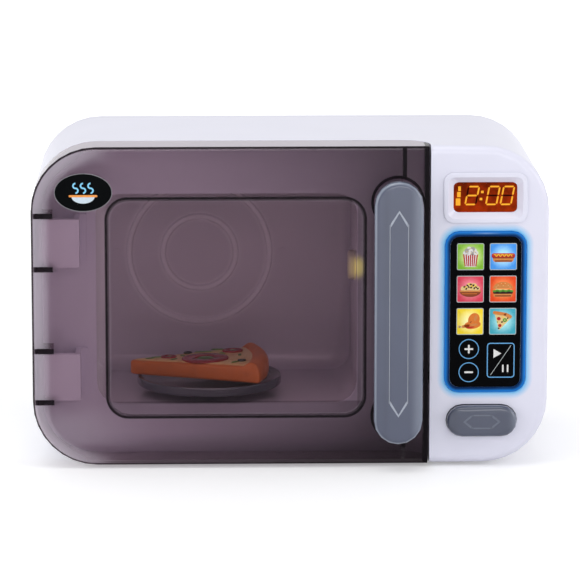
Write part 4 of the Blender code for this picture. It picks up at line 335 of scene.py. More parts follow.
def slate_with_painted_light(name, node, share, left, right, line, groove_painted_light):
    """Glossy slate, painted with highlights along its rim and right side, shade at its left and light in its
    engraved line.
    """
    colour = scaled(colours().slate, share)
    finish = moulded(name, colour, 0.22, mottle=0.07, sockets={"Coat Weight": 0.5, "Coat Roughness": 0.08})
    low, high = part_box(node)
    rim = finish.rim_distance(low, high, min(high.x - low.x, high.z - low.z) / 2)
    across = finish.part("X")
    side = finish.ranged(across, low.x, high.x, left, right)
    # Painted highlights: a line along the rim whose strength goes from left to right, and a broad band at the
    # right; painted shade in a band at the left.
    edge = finish.both(finish.near(rim, line, 0.5 * MM, 1.3 * MM), side)
    painted_right_highlight = finish.both(finish.soft(across, high.x - 8 * MM, high.x - 0.5 * MM), 0.42)
    painted_left_shade = finish.both(finish.near(across, low.x + 6.5 * MM, 0.5 * MM, 5 * MM), 0.22)
    wear_and_painted_shade = finish.mixed(painted_left_shade, finish.base(), scaled(colour, 0.2))
    rubbed_and_painted_highlight = finish.mixed(finish.most(edge, painted_right_highlight), wear_and_painted_shade, (0.30, 0.34, 0.42))
    aside = finish.apart(across, (low.x + high.x) / 2)
    middle_line = finish.most(finish.near(aside, 5.15 * MM, 0.2 * MM, 0.2 * MM),
                              finish.near(aside, 0.0, 4.7 * MM, 0.1 * MM),
                              finish.ranged(aside, 5.8 * MM, 5.9 * MM, 0.0, 1.0))
    # The engraved line's floor is painted pale, as the light that the line catches.
    sunk = finish.both(finish.ranged(finish.part("Y"), low.y + 0.2 * MM, low.y + 0.3 * MM, 0.0, 1.0),
                       finish.ranged(rim, -5.6 * MM, -5.2 * MM, 1.0, 0.0), middle_line)
    finish.feed("Base Color", finish.mixed(sunk, rubbed_and_painted_highlight, groove_painted_light))
    return finish


def lamp_spill(finish, across, middle_at, reach):
    """A round patch of the oven lamp's yellow light, at its height and that far from it along one axis."""
    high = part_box("lamp_lens")[1]
    sloped = finish.maths("ADD", finish.part("Z"), finish.maths("MULTIPLY", finish.part("Y"), SPILL_SLOPE))
    row = finish.maths("DIVIDE", finish.maths("SUBTRACT", sloped, high.z - SPILL_DROP), SPILL_HALF_HEIGHT)
    column = finish.maths("DIVIDE", finish.maths("SUBTRACT", across, middle_at), reach)
    away = finish.maths("SQRT", finish.maths("ADD", finish.both(row, row), finish.both(column, column)))
    return finish.soft(away, 1.0, 0.22)


def case_plastic(name):
    """White plastic whose front takes the blue light of the ring and the yellow light of the lamp."""
    finish = moulded(name, colours().white, 0.34, mottle=0.015,
                     sockets={"Coat Weight": 0.15, "Emission Strength": 1.0})
    low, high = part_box("light_ring")
    away = finish.rim_distance(low, high, RING_CORNER)
    near = finish.maths("POWER", finish.ranged(away, 0.0, sizes().glow_reach, 1.0, 0.0), 1.15)
    front = finish.ranged(finish.part("Y"), low.y + 1.5 * MM, low.y + 2.5 * MM, 1.0, 0.0)
    glow = finish.maths("MULTIPLY", near, front)
    finish.feed("Base Color", finish.mixed(glow, finish.base(), colours().glow))
    light = finish.shone(glow, scaled(colours().glow, 0.06))
    lens_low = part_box("lamp_lens")[0]
    on_frame = finish.ranged(finish.part("Y"), lens_low.y - 29.5 * MM, lens_low.y - 29 * MM, 1.0, 0.0)
    patch = finish.both(lamp_spill(finish, finish.part("X"), lens_low.x + 4.4 * MM, 5.2 * MM), on_frame)
    finish.feed("Emission Color", finish.vector("ADD", light, finish.shone(patch, (0.62, 0.60, 0.04))))
    return finish


def cavity_plastic(name):
    """The oven's inside: glossy white, painted warm where the lamp shines on it, with painted light on the
    rings of its back and at the hinge side.
    """
    finish = moulded(name, (0.63, 0.60, 0.67), 0.17, mottle=0.03, sockets={"Emission Strength": 1.0})
    lens_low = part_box("lamp_lens")[0]
    lamp_side = finish.soft(finish.part("X"), lens_low.x - 2 * MM, lens_low.x + 2 * MM)
    halo = finish.both(lamp_spill(finish, finish.part("Y"), lens_low.y, 32 * MM), lamp_side)
    low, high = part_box("cavity_liner")
    wall = finish.soft(finish.part("Y"), high.y - 8 * MM, high.y - 4 * MM)
    across = finish.distance((RINGS_AT[0], 0.0, RINGS_AT[1]), FRONT_PLANE)
    rings = finish.most(*[finish.near(across, radius, 2.6 * MM, 2.2 * MM) for radius in RINGS])
    painted_hinge_side_light = finish.both(finish.soft(finish.part("X"), low.x + 16 * MM, low.x + 11 * MM), 0.13)
    # Painted light: the rings are painted paler with a faint glow, and the hinge side glows.
    finish.feed("Base Color", finish.mixed(finish.both(rings, wall), finish.base(), (0.71, 0.68, 0.74)))
    light = finish.shone(halo, (0.40, 0.36, 0.04))
    pale = finish.shone(finish.most(finish.both(rings, wall, 0.025), painted_hinge_side_light), (1.0, 0.93, 1.0))
    finish.feed("Emission Color", finish.vector("ADD", light, pale))
    return finish


def smoked_plastic(name):
    """See-through smoked plastic: clear on its broad walls, painted dark at its edges, painted pale at the
    hinge side.
    """
    smoke = colours().smoke
    finish = Finish(name, smoke, 0.08, {"IOR": 1.5})
    low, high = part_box("door_shell")
    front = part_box("badge_plate")[0].y + 0.4 * MM
    across, up = finish.part("X"), finish.part("Z")
    depth = finish.maths("SUBTRACT", finish.part("Y"), front)
    face = finish.ranged(depth, 1.2 * MM, 1.6 * MM, 1.0, 0.0)
    rim = finish.rim_distance(low, high + mm(60, 0, 0), DOOR_CORNER)
    pane_low, pane_high = PANE
    loop = finish.rim_distance(Vector(pane_low), Vector(pane_high), PANE_CORNER)
    # Painted dark lines where the door's walls are seen edge-on, and a painted dark band down its latch side.
    dark = finish.most(finish.both(painted_dark_lines(finish, across, up, loop, rim), face),
                       finish.ranged(across, high.x - 2.6 * MM, high.x - 2.2 * MM, 0.0, 0.98))
    # Painted light: the hinge side's bright band and lower corner, a highlight line inside the window line,
    # and the flange's pale top.
    painted_light = finish.most(finish.both(painted_light_bands(finish, across, up, rim, low), face),
                       finish.both(finish.near(loop, -2.8 * MM, 0.3 * MM, 0.5 * MM), face, 0.16),
                       finish.both(finish.ranged(rim, -2.6 * MM, -2.3 * MM, 0.0, 1.0), finish.rest(face),
                                   0.68))
    cloud = finish.mixed(finish.noise(30.0, 3.0), scaled(smoke, 0.8), scaled(smoke, 1.2))
    pale = finish.ranged(finish.maths("SUBTRACT", painted_light, dark), 0.04, 0.2, 0.0, 1.0)
    finish.feed("Base Color", finish.mixed(pale, cloud, (0.64, 0.60, 0.67)))
    finish.feed("Roughness", finish.ranged(finish.noise(90.0), 0.3, 0.7, 0.06, 0.11))
    finish.feed("Specular IOR Level", finish.ranged(dark, 0.2, 0.8, 0.5, 0.04))
    finish.bumped(finish.noise(160.0), 0.000012)
    # Painted shade round the window darkens the light that the door lets through.
    shade = finish.both(window_shade(finish, across, up, loop, low), face)
    clear = finish.tree.nodes.new("ShaderNodeBsdfTransparent")
    finish.tree.links.new(finish.mixed(shade, colours().tint, BLACK), clear.inputs["Color"])
    mix = finish.tree.nodes.new("ShaderNodeMixShader")
    finish.tree.links.new(finish.most(dark, painted_light, 0.10), mix.inputs[0])
    finish.tree.links.new(clear.outputs[0], mix.inputs[1])
    finish.tree.links.new(finish.shader.outputs[0], mix.inputs[2])
    finish.tree.links.new(mix.outputs[0], finish.tree.nodes["Material Output"].inputs["Surface"])
    return finish


def painted_dark_lines(finish, across, up, loop, rim):
    """Painted dark lines where the door's edges look dark from the front: its rim, window line, shelves, pads
    and gussets.
    """
    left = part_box("door_shell")[0].x
    lines = [finish.ranged(rim, -1.5 * MM, -0.9 * MM, 0.0, 0.93),
             finish.both(finish.near(loop, -1.3 * MM, 1.1 * MM, 0.6 * MM), 0.6),
             finish.both(finish.near(loop, -0.9 * MM, 0.75 * MM, 0.5 * MM), 0.96)]
    shelf = finish.both(finish.ranged(across, left + 12.0 * MM, left + 12.5 * MM, 0.93, 0.0),
                        finish.ranged(across, left + 0.8 * MM, left + 2.0 * MM, 0.0, 1.0))
    lines += [finish.both(finish.near(up, height + SHELF_LIFT, 1.5 * MM, 0.4 * MM), shelf)
              for height in SHELVES]
    low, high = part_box("door_handle")
    radius, middle_x = (high.x - low.x) / 2, (low.x + high.x) / 2
    under = finish.both(finish.ranged(up, low.z, low.z + 1 * MM, 1.0, 0.0),
                        finish.ranged(up, low.z - 6 * MM, low.z - 4 * MM, 0.35, 1.0))
    beyond = finish.most(finish.ranged(up, high.z - 1 * MM, high.z, 0.0, 1.0), under)
    lines.append(finish.both(finish.near(across, middle_x + 3.75 * MM, 1.2 * MM, 0.5 * MM), beyond, 0.97))
    for height in (low.z + radius, high.z - radius):
        away = finish.distance((middle_x, 0.0, height), FRONT_PLANE)
        lines.append(finish.both(finish.near(away, 14.2 * MM, 0.8 * MM, 0.4 * MM), 0.95))
    return finish.most(*lines)


def painted_light_bands(finish, across, up, rim, low):
    """The painted bright band along the hinge side and the painted paler lower corner beside it."""
    band = finish.both(finish.soft(rim, -14 * MM, -2.5 * MM),
                       finish.soft(across, low.x + 58 * MM, low.x + 14 * MM), 0.42)
    corner = finish.both(finish.soft(across, low.x + 95 * MM, low.x + 15 * MM),
                         finish.soft(up, 48 * MM, 24 * MM), finish.soft(up, 9 * MM, 16 * MM), 0.17)
    return finish.most(band, corner)


def window_shade(finish, across, up, loop, low):
    """Painted shade: how much darker the door looks round its window: towards the latch, at its foot, over
    the shelves.
    """
    outside = finish.ranged(loop, -0.6 * MM, 0.0, 0.0, 1.0)
    latch = finish.both(finish.ranged(across, low.x + 33 * MM, low.x + 220 * MM, 0.0, 0.42), outside)
    foot = finish.both(finish.soft(up, 23 * MM, 8 * MM),
                       finish.soft(across, low.x + 8 * MM, low.x + 78 * MM), 0.42, outside)
    corner = finish.both(finish.soft(up, 34 * MM, 20 * MM),
                         finish.soft(across, low.x + 80 * MM, low.x + 190 * MM), 0.2, outside)
    shelf = finish.ranged(across, low.x + 12 * MM, low.x + 16 * MM, 0.28, 0.0)
    over = [finish.both(finish.soft(up, height + 7 * MM, height + 1 * MM),
                        finish.ranged(up, height - 1 * MM, height, 0.0, 1.0), shelf) for height in SHELVES]
    inside = finish.rest(outside)
    sill = finish.both(finish.ranged(up, 38.4 * MM, 39.0 * MM, 0.34, 0.0), inside)
    jamb = finish.both(finish.ranged(across, 37.4 * MM, 37.9 * MM, 0.0, 0.30), inside)
    light = 1.0
    for shade in (latch, foot, corner, sill, jamb, finish.most(*over)):
        light = finish.both(light, finish.rest(shade))
    return finish.rest(light)


# Modelling


def rectangle(width, height, corner=0.0, steps=4):
    """A flat rectangle with round corners."""
    shape = bmesh.new()
    corners = bmesh.ops.create_grid(shape, x_segments=1, y_segments=1, size=0.5)["verts"]
    bmesh.ops.scale(shape, vec=(width, height, 1.0), verts=corners)
    if corner:
        bmesh.ops.bevel(shape, geom=corners, offset=min(corner, 0.4999 * min(width, height)), segments=steps,
                        profile=0.5, affect="VERTICES", material=-1)
    return shape


def disc(width, height=None, steps=28):
    """A flat round or oval shape."""
    shape = bmesh.new()
    rim = bmesh.ops.create_circle(shape, cap_ends=True, segments=steps, radius=0.5)["verts"]
    bmesh.ops.scale(shape, vec=(width, height or width, 1.0), verts=rim)
    return shape


def polygon(points, corner=0.0):
    """A flat shape of a few corners."""
    shape = bmesh.new()
    corners = [shape.verts.new((x, y, 0.0)) for x, y in points]
    shape.faces.new(corners)
    if corner:
        rounded(shape, corners, corner, 2, "VERTICES")
    return shape


def outlined(shape, line):
    """Only a line of that width along a flat shape's rim."""
    inner = list(shape.faces)
    bmesh.ops.inset_region(shape, faces=inner, thickness=line, use_boundary=True, use_even_offset=True)
    bmesh.ops.delete(shape, geom=inner, context="FACES")
    return shape


def halved(shape, normal):
    """The half of a shape that lies behind a plane through its middle."""
    everything = shape.verts[:] + shape.edges[:] + shape.faces[:]
    bmesh.ops.bisect_plane(shape, geom=everything, plane_co=(0, 0, 0), plane_no=normal, clear_outer=True)
    return shape


def rounded(shape, geom, offset, segments, affect="EDGES", **settings):
    """Rounds some edges or corners of a shape."""
    bmesh.ops.bevel(shape, geom=geom, offset=offset, segments=segments, profile=0.5, affect=affect,
                    material=-1, **settings)


def rim_edges(shape):
    """The edges where a plate's flat sides meet its wall."""
    return [e for e in shape.edges if len(e.link_faces) == 2
            and abs(e.link_faces[0].normal.z - e.link_faces[1].normal.z) > 0.5]


def thick(shape, height, edge=0.0, edge_steps=2):
    """A flat shape as a plate of that height with a round upper rim."""
    grown = bmesh.ops.extrude_face_region(shape, geom=shape.faces[:])["geom"]
    top = [item for item in grown if isinstance(item, bmesh.types.BMVert)]
    bmesh.ops.translate(shape, vec=(0.0, 0.0, height), verts=top)
    bmesh.ops.recalc_face_normals(shape, faces=shape.faces[:])
    if edge:
        rims = [e for e in rim_edges(shape) if all(v.co.z > height / 2 for v in e.verts)]
        rounded(shape, rims, edge, edge_steps)
    return shape


def turned(shape, degrees):
    """A flat shape turned about its own middle."""
    bmesh.ops.rotate(shape, cent=(0.0, 0.0, 0.0), matrix=Matrix.Rotation(math.radians(degrees), 3, "Z"),
                     verts=shape.verts[:])
    return shape


class Form:
    """A piece in the making, which gathers shapes that each have their own finish."""

    def __init__(self):
        self.mesh = bmesh.new()

    def take(self, shape, at, finish=0, facing=FRONTWARD):
        """Adds a shape at its place, turned to face the front, the back or up."""
        if facing == FRONTWARD:
            shape.transform(Matrix.Rotation(math.radians(90), 4, "X"))
        if facing == BACKWARD:
            half_turn = Matrix.Rotation(math.radians(180), 4, "Z")
            shape.transform(half_turn @ Matrix.Rotation(math.radians(90), 4, "X"))
        shape.transform(Matrix.Translation(at))
        for face in shape.faces:
            face.material_index = finish
        carried = bpy.data.meshes.new("carried")
        shape.to_mesh(carried)
        shape.free()
        self.mesh.from_mesh(carried)
        bpy.data.meshes.remove(carried)

    def done(self, name, body, finishes, angle=35.0):
        """The finished piece, riding on its body."""
        mesh = bpy.data.meshes.new(name)
        self.mesh.to_mesh(mesh)
        self.mesh.free()
        for material in finishes:
            mesh.materials.append(material)
        mesh.shade_smooth()
        mesh.set_sharp_from_angle(angle=math.radians(angle))
        piece = bpy.data.objects.new(name, mesh)
        bpy.context.scene.collection.objects.link(piece)
        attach(piece, body)
        return piece


def dress(names, material, angle=35.0):
    """Gives CAD nodes a material and clean shading; their shapes stay as they are."""
    for name in names:
        piece = NODES[name]
        mesh = piece.data
        mesh.materials.clear()
        mesh.materials.append(material)
        mesh.polygons.foreach_set("material_index", [0] * len(mesh.polygons))
        mesh.shade_smooth()
        if "custom_normal" in mesh.attributes:
            mesh.attributes.remove(mesh.attributes["custom_normal"])
        weld = piece.modifiers.new("weld", "WELD")
        weld.merge_threshold = WELD_GAP
        split = piece.modifiers.new("edges", "EDGE_SPLIT")
        split.split_angle = math.radians(angle)
        shading = piece.modifiers.new("shading", "WEIGHTED_NORMAL")
        shading.keep_sharp = True


# Pieces


class CaseOperator(bpy.types.Operator):
    """Finish the white case, its rear cover and the oven cavity"""

    bl_idname = "toy_microwave.case"
    bl_label = "Case and cavity"

    def execute(self, context):
        dress(["body_shell"], known("case_plastic", case_plastic))
        dress(["rear_cover", "battery_cover"], white_plastic())
        dress(["hinge_bracket_lower", "hinge_bracket_upper"],
              known("bracket_plastic", moulded, scaled(colours().white, 0.97), 0.34, mottle=0.03))
        dress(["cavity_liner"], known("cavity_plastic", cavity_plastic))
        dress([f"foot_{number}" for number in range(1, 5)],
              known("rubber", moulded, (0.035, 0.035, 0.040), 0.75, mottle=0.15, grain=1600.0, depth=0.00004))
        screw = known("screw_steel", metal, (0.56, 0.57, 0.60), 0.28)
        dress([f"cover_screw_{number}" for number in range(1, 7)], screw)
        dress(["battery_cover_screw", "handle_screw_lower", "handle_screw_upper"], screw)
        return {"FINISHED"}


class RearMarksOperator(bpy.types.Operator):
    """Raise the on and off marks beside the switch and the arrow on the battery cover"""

    bl_idname = "toy_microwave.rear_marks"
    bl_label = "Rear marks"

    def execute(self, context):
        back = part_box("rear_cover")[1].y - BITE
        low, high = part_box("power_switch")
        height = (low.z + high.z) / 2
        ink = known("mark_grey", moulded, (0.10, 0.11, 0.14), 0.45, mottle=0.1)
        marks = Form()
        for shape, across in ((rectangle(0.9 * MM, 4.0 * MM, 0.2 * MM), high.x + 4 * MM),
                              (outlined(disc(4.2 * MM), 0.8 * MM), low.x - 4 * MM)):
            marks.take(thick(shape, 0.28 * MM, 0.05 * MM), (across, back, height), facing=BACKWARD)
        marks.done("switch_marks", "case", [ink])
        low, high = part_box("battery_cover")
        arrow = Form()
        across = (low.x + high.x) / 2
        top = high.z - 8 * MM
        point = polygon([(-3 * MM, 2 * MM), (0.0, -2 * MM), (3 * MM, 2 * MM)], 0.4 * MM)
        arrow.take(thick(point, 0.32 * MM, 0.1 * MM), (across, high.y - BITE, top), facing=BACKWARD)
        for step in range(3):
            arrow.take(thick(rectangle(16 * MM, 0.9 * MM, 0.4 * MM), 0.32 * MM, 0.15 * MM),
                       (across, high.y - BITE, top + (3.6 + 1.6 * step) * MM - 8 * MM), facing=BACKWARD)
        arrow.done("hatch_grip_marks", "battery_hatch", [white_plastic()])
        return {"FINISHED"}


class DoorOperator(bpy.types.Operator):
    """Finish the smoked door, its handle and its oval plate"""

    bl_idname = "toy_microwave.door"
    bl_label = "Door"

    def execute(self, context):
        dress(["door_shell"], known("smoked_plastic", smoked_plastic), 30.0)
        # The handle's slate with painted highlights and shade, and painted light in its groove line.
        grip = known("handle_plastic", slate_with_painted_light, "door_handle", 1.0, 1.0, 0.55, -0.55 * MM,
                     (0.48, 0.52, 0.60))
        dress(["door_handle"], grip, 40.0)
        plate = known("plate_black", moulded, (0.002, 0.0025, 0.003), 0.22, mottle=0.3,
                      sockets={"Specular IOR Level": 0.02})
        dress(["badge_plate"], plate)
        pin = known("pin_steel", metal, (0.55, 0.55, 0.56), 0.30, (1, 1, 0.05))
        dress(["hinge_pin_lower", "hinge_pin_upper"], pin)
        self.plate_marks()
        return {"FINISHED"}

    def plate_marks(self):
        """A thin rim and a plain picture of a warm dish, with three curls of steam, on the oval plate."""
        low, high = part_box("badge_plate")
        centre = (low + high) / 2
        at = Vector((centre.x, low.y + BITE, centre.z))
        pale = known("plate_pale", lit, (0.62, 0.72, 0.80), (0.02, 0.03, 0.04))
        blue = known("plate_blue", lit, (0.20, 0.55, 0.78), (0.02, 0.05, 0.08))
        orange = known("plate_orange", lit, (0.85, 0.30, 0.05), (0.06, 0.02, 0.0))
        marks = Form()
        marks.take(thick(outlined(disc(high.x - low.x, high.z - low.z, 48), 0.25 * MM), 0.18 * MM), at, 3)
        half_disc = halved(disc(13 * MM, 8 * MM), (0, 1, 0))
        marks.take(thick(half_disc, 0.2 * MM, 0.05 * MM), at + mm(0, 0, -2.2), 0)
        bar = rectangle(16 * MM, 1.2 * MM, 0.6 * MM)
        marks.take(thick(bar, 0.24 * MM, 0.05 * MM), at + mm(0, 0, -2.0), 2)
        for column in (-1, 0, 1):
            for row, side in ((0, 1), (1, -1)):
                bend = halved(outlined(disc(3.6 * MM), 0.9 * MM), (-side, 0, 0))
                marks.take(thick(bend, 0.2 * MM), at + mm(column * 4.2, 0, 1.1 + 2.7 * row), 1)
        edge = known("plate_edge", moulded, (0.30, 0.30, 0.32), 0.3)
        marks.done("plate_marks", "door", [pale, blue, orange, edge])


def amber_glass(name):
    """The display's amber window, glowing a little more along its foot."""
    amber = colours().amber
    finish = Finish(name, amber, 0.14, {"Emission Strength": 1.0, "Specular IOR Level": 0.02})
    low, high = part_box("display_window")
    foot = finish.ranged(finish.part("Z"), low.z, high.z, 1.0, 0.0)
    cloud = finish.ranged(finish.noise(220.0, 3.0), 0.35, 0.65, 0.0, 0.55)
    factor = finish.maths("ADD", finish.maths("MULTIPLY", foot, 0.55), cloud)
    finish.feed("Emission Color", finish.mixed(factor, scaled(amber, 0.12), scaled(amber, 1.6)))
    finish.feed("Base Color", finish.mixed(cloud, scaled(amber, 0.6), scaled(amber, 0.9)))
    return finish


class DisplayOperator(bpy.types.Operator):
    """Light the clock display"""

    bl_idname = "toy_microwave.display"
    bl_label = "Display"

    def execute(self, context):
        dress(["display_bezel"], white_plastic())
        dress(["display_window"], known("amber_window", amber_glass))
        dress(["display_module"], known("module_dark", moulded, (0.03, 0.012, 0.010), 0.5, mottle=0.2))
        self.digits()
        return {"FINISHED"}

    def digits(self):
        """A plain twelve o'clock in seven leaning bars a digit."""
        window_low, window_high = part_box("display_window")
        centre = (window_low + window_high) / 2
        lean = Matrix(((1, sizes().digit_lean, 0), (0, 1, 0), (0, 0, 1))).to_4x4()
        half_height, half_width = sizes().digit_height / 2, sizes().digit_width / 2
        bar, gap = 0.92 * MM, 0.5 * MM
        light = colours().digit
        lit_bar = known("digit_light", lit, scaled(light, 0.2), light, 0.92,
                        sockets={"Specular IOR Level": 0.03})
        dim_bar = known("digit_dim", lit, (0.012, 0.001, 0.0002), (0.010, 0.0006, 0.0),
                        sockets={"Specular IOR Level": 0.02})
        face = Form()
        places = {"a": (0, half_height, 0), "g": (0, 0, 0), "d": (0, -half_height, 0),
                  "b": (half_width, half_height / 2, 90), "c": (half_width, -half_height / 2, 90),
                  "f": (-half_width, half_height / 2, 90), "e": (-half_width, -half_height / 2, 90)}
        base = centre.z + 0.9 * MM
        for x, on in ((-7.4, "abged"), (4.2, "abcdef"), (12.3, "abcdef")):
            for key, (across, up, turn) in places.items():
                length = (half_height if turn else 2 * half_width) - gap
                shape = turned(rectangle(length, bar, 0.49 * bar, 1), turn)
                shape.transform(Matrix.Translation((across, up, 0)))
                shape.transform(lean)
                on_now = key in on
                face.take(thick(shape, (0.16 if on_now else 0.12) * MM),
                          (centre.x + x * MM, window_low.y + BITE, base), 0 if on_now else 1)
        for up, width, height in ((3.9, 1.5, 2.6), (0.6, 2.0, 3.0), (-3.6, 2.6, 4.0)):
            block = rectangle(width * MM, height * MM, 0.2 * MM, 2)
            across = centre.x - 14.9 * MM + up * 0.1 * MM
            face.take(thick(block, 0.16 * MM), (across, window_low.y + BITE, base + up * MM))
        for up in (2.0, -2.0):
            dot = rectangle(1.5 * MM, 1.4 * MM, 0.2 * MM, 2)
            across = centre.x + (-2.1 + 0.19 * up) * MM
            face.take(thick(dot, 0.16 * MM), (across, window_low.y + BITE, base + up * MM))
        face.done("display_digits", "case", [lit_bar, dim_bar])


INKS = {"white": (0.66, 0.65, 0.64), "cream": (0.68, 0.50, 0.22), "yellow": (0.80, 0.52, 0.04),
        "red": (0.42, 0.018, 0.020), "brown": (0.22, 0.05, 0.018), "orange": (0.62, 0.17, 0.03),
        "green": (0.07, 0.26, 0.03), "dark": (0.030, 0.012, 0.010), "bread": (0.56, 0.21, 0.06),
        "grey": (0.42, 0.46, 0.46), "sky": (0.12, 0.34, 0.62), "shade": (0.34, 0.32, 0.30)}

# Each row: kind, ink, across, up, width, height, turn and layer, in millimetres from the picture's middle.
POPCORN = [("tub", "white", 0, -2.0, 8.2, 7.4, 0, 0)]
POPCORN += [("tub", "red", x, -2.0, 0.75, 6.9, -x * 2.2, 1) for x in (-3.4, -2.2, -1.1, 0, 1.1, 2.2, 3.4)]
POPCORN += [("disc", ink, x, z, 2.6, 2.4, 0, layer) for x, z, layer, ink in
            ((-3.0, 2.1, 1, "white"), (-1.1, 1.9, 2, "white"), (1.0, 2.0, 1, "shade"), (3.0, 2.1, 2, "white"),
             (-2.1, 3.5, 2, "shade"), (0.1, 3.4, 3, "white"), (2.2, 3.5, 1, "white"), (-0.8, 4.5, 1, "white"),
             (1.2, 4.4, 2, "shade"))]
POPCORN += [("disc", "shade", x, z, 0.9, 0.5, turn, 4) for x, z, turn in
            ((-2.6, 2.4, 30), (0.5, 2.8, -20), (2.7, 2.5, 40), (-0.9, 4.3, 10), (1.7, 3.8, -40),
             (-1.5, 1.6, 0))]
POPCORN += [("disc", "cream", x, z, 0.7, 0.6, 0, 4) for x, z in
            ((-2.1, 2.9), (0.2, 2.1), (2.1, 3.0), (-0.3, 4.6), (3.3, 1.9))]
HOT_DOG = [("bar", "bread", 0, -1.4, 11.6, 3.4, 0, 0), ("bar", "brown", 0, -2.5, 9.8, 0.8, 0, 1),
           ("bar", "red", 0, 0.5, 13.2, 2.8, 0, 1), ("bar", "orange", 0, 1.2, 11.4, 0.8, 0, 2),
           ("bar", "brown", 0, -0.7, 12.2, 0.6, 0, 2)]
HOT_DOG += [("bar", "yellow", -4.4 + 1.1 * n, 0.7, 1.7, 0.4, 52 if n % 2 else -52, 3) for n in range(9)]
BOWL = [("disc", "cream", x, z, 3.6, 3.2, 0, layer) for x, z, layer in
        ((-3.6, 0.2, 0), (-1.3, 0.8, 1), (1.3, 0.7, 0), (3.6, 0.2, 1), (-0.4, 2.0, 2), (2.0, 1.8, 2))]
BOWL += [("disc", "dark", x, z, 1.3, 0.9, turn, 3) for x, z, turn in
         ((-3.3, 1.3, 20), (-1.6, 2.1, -30), (0.2, 2.7, 10), (1.8, 2.2, 40), (3.2, 1.1, -20), (0.4, 0.9, 15),
          (-2.2, 0.2, 50), (2.2, 0.5, 70), (-0.9, 1.2, -60), (4.2, 0.3, 30))]
BOWL += [("disc", "yellow", x, z, 1.2, 0.8, turn, 3) for x, z, turn in
         ((-2.6, 1.2, 0), (0.8, 1.8, 40), (2.8, 1.7, -30), (-0.6, 2.9, 20))]
BOWL += [("bowl", "brown", 0, -1.0, 12.2, 7.0, 0, 3), ("bar", "bread", 0, -1.2, 12.0, 0.8, 0, 4),
         ("bar", "orange", -0.5, -2.6, 8.6, 0.35, 0, 4)]
BURGER = [("bar", "bread", 0, -3.5, 10.6, 2.0, 0, 0), ("bar", "brown", 0, -3.9, 9.2, 0.7, 0, 1),
          ("bar", "dark", 0, -1.9, 11.2, 1.7, 0, 1), ("bar", "cream", 0.6, -0.6, 9.6, 0.9, -4, 2),
          ("dome", "bread", 0, 0.3, 11.0, 7.6, 0, 2), ("bar", "orange", -0.4, 3.0, 5.6, 0.6, 0, 3)]
BURGER += [("disc", "green", -4.8 + 1.6 * n, -1.2 + 0.35 * (n % 2), 2.1, 1.1, 0, 3) for n in range(7)]
BURGER += [("disc", "cream", x, z, 0.6, 0.35, turn, 4) for x, z, turn in
           ((-2.8, 2.2, 30), (-1.0, 3.3, 10), (1.2, 3.2, -15), (2.9, 2.0, -35), (0.1, 1.9, 0),
            (-3.8, 1.1, 40), (3.9, 1.0, -40))]
DRUMSTICK = [("bar", "cream", -4.6, -3.0, 3.6, 1.1, 10, 0), ("disc", "cream", -6.0, -2.9, 1.5, 1.7, 0, 0),
             ("disc", "orange", 1.4, -2.0, 9.4, 4.6, 8, 1), ("bar", "bread", -2.4, -2.7, 4.4, 1.6, 10, 1),
             ("disc", "orange", 2.2, 0.9, 6.4, 8.0, -20, 2), ("disc", "bread", 3.2, 2.0, 1.7, 3.6, -20, 3),
             ("disc", "bread", 2.2, -1.9, 4.6, 1.3, 8, 3), ("disc", "red", 0.2, -3.4, 4.6, 0.8, 8, 3),
             ("disc", "brown", 0.4, -0.4, 1.4, 0.5, 40, 3)]
SLICE = [("wedge", "cream", 0, 0.0, 9.4, 10.4, 0, 0), ("bar", "bread", -1.8, 4.5, 7.6, 1.9, -9, 2),
         ("bar", "bread", 2.9, 3.3, 4.8, 1.9, -28, 2), ("bar", "orange", -1.8, 4.9, 6.6, 0.6, -9, 3),
         ("disc", "red", -2.2, 1.5, 2.2, 2.0, 0, 1), ("disc", "red", -1.6, -2.4, 1.9, 1.8, 0, 1),
         ("ring", "green", 1.2, 0.7, 2.4, 2.2, 0, 2), ("disc", "dark", -0.4, -0.4, 1.2, 0.9, 20, 1),
         ("disc", "dark", -2.2, -4.0, 1.1, 0.9, 0, 1), ("disc", "dark", 2.8, 1.8, 1.0, 0.8, 40, 1),
         ("disc", "yellow", 0.2, 2.4, 1.4, 0.6, -20, 1), ("disc", "green", -3.0, -0.4, 0.9, 0.5, 60, 1)]
PICTURES = [("popcorn", 0, 1, (0.20, 0.44, 0.035), (0.72, 0.82, 0.36), POPCORN),
            ("hot_dog", 1, 1, (0.05, 0.27, 0.76), (0.42, 0.76, 0.95), HOT_DOG),
            ("bowl", 0, 0, (0.62, 0.045, 0.085), (0.85, 0.28, 0.33), BOWL),
            ("burger", 1, 0, (0.70, 0.055, 0.012), (0.92, 0.30, 0.09), BURGER),
            ("drumstick", 0, -1, (0.80, 0.60, 0.02), (0.95, 0.90, 0.42), DRUMSTICK),
            ("slice", 1, -1, (0.045, 0.34, 0.44), (0.40, 0.78, 0.80), SLICE)]


def picture_shape(kind, width, height):
    """One flat shape of a printed picture."""
    half_width, half_height = width / 2, height / 2
    if kind == "bar":
        return rectangle(width, height, 0.45 * height, 3)
    if kind == "tub":
        return polygon([(half_width, half_height), (-half_width, half_height),
                        (-0.76 * half_width, -half_height), (0.76 * half_width, -half_height)])
    if kind == "wedge":
        return polygon([(half_width, 0.35 * half_height), (-half_width, half_height),
                        (-0.45 * half_width, -half_height)], 0.03 * width)
    if kind == "bowl":
        return halved(disc(width, height), (0, 1, 0))
    if kind == "dome":
        return halved(disc(width, height), (0, -1, 0))
    if kind == "ring":
        return outlined(disc(width, height), 0.3 * width)
    return disc(width, height, 20)


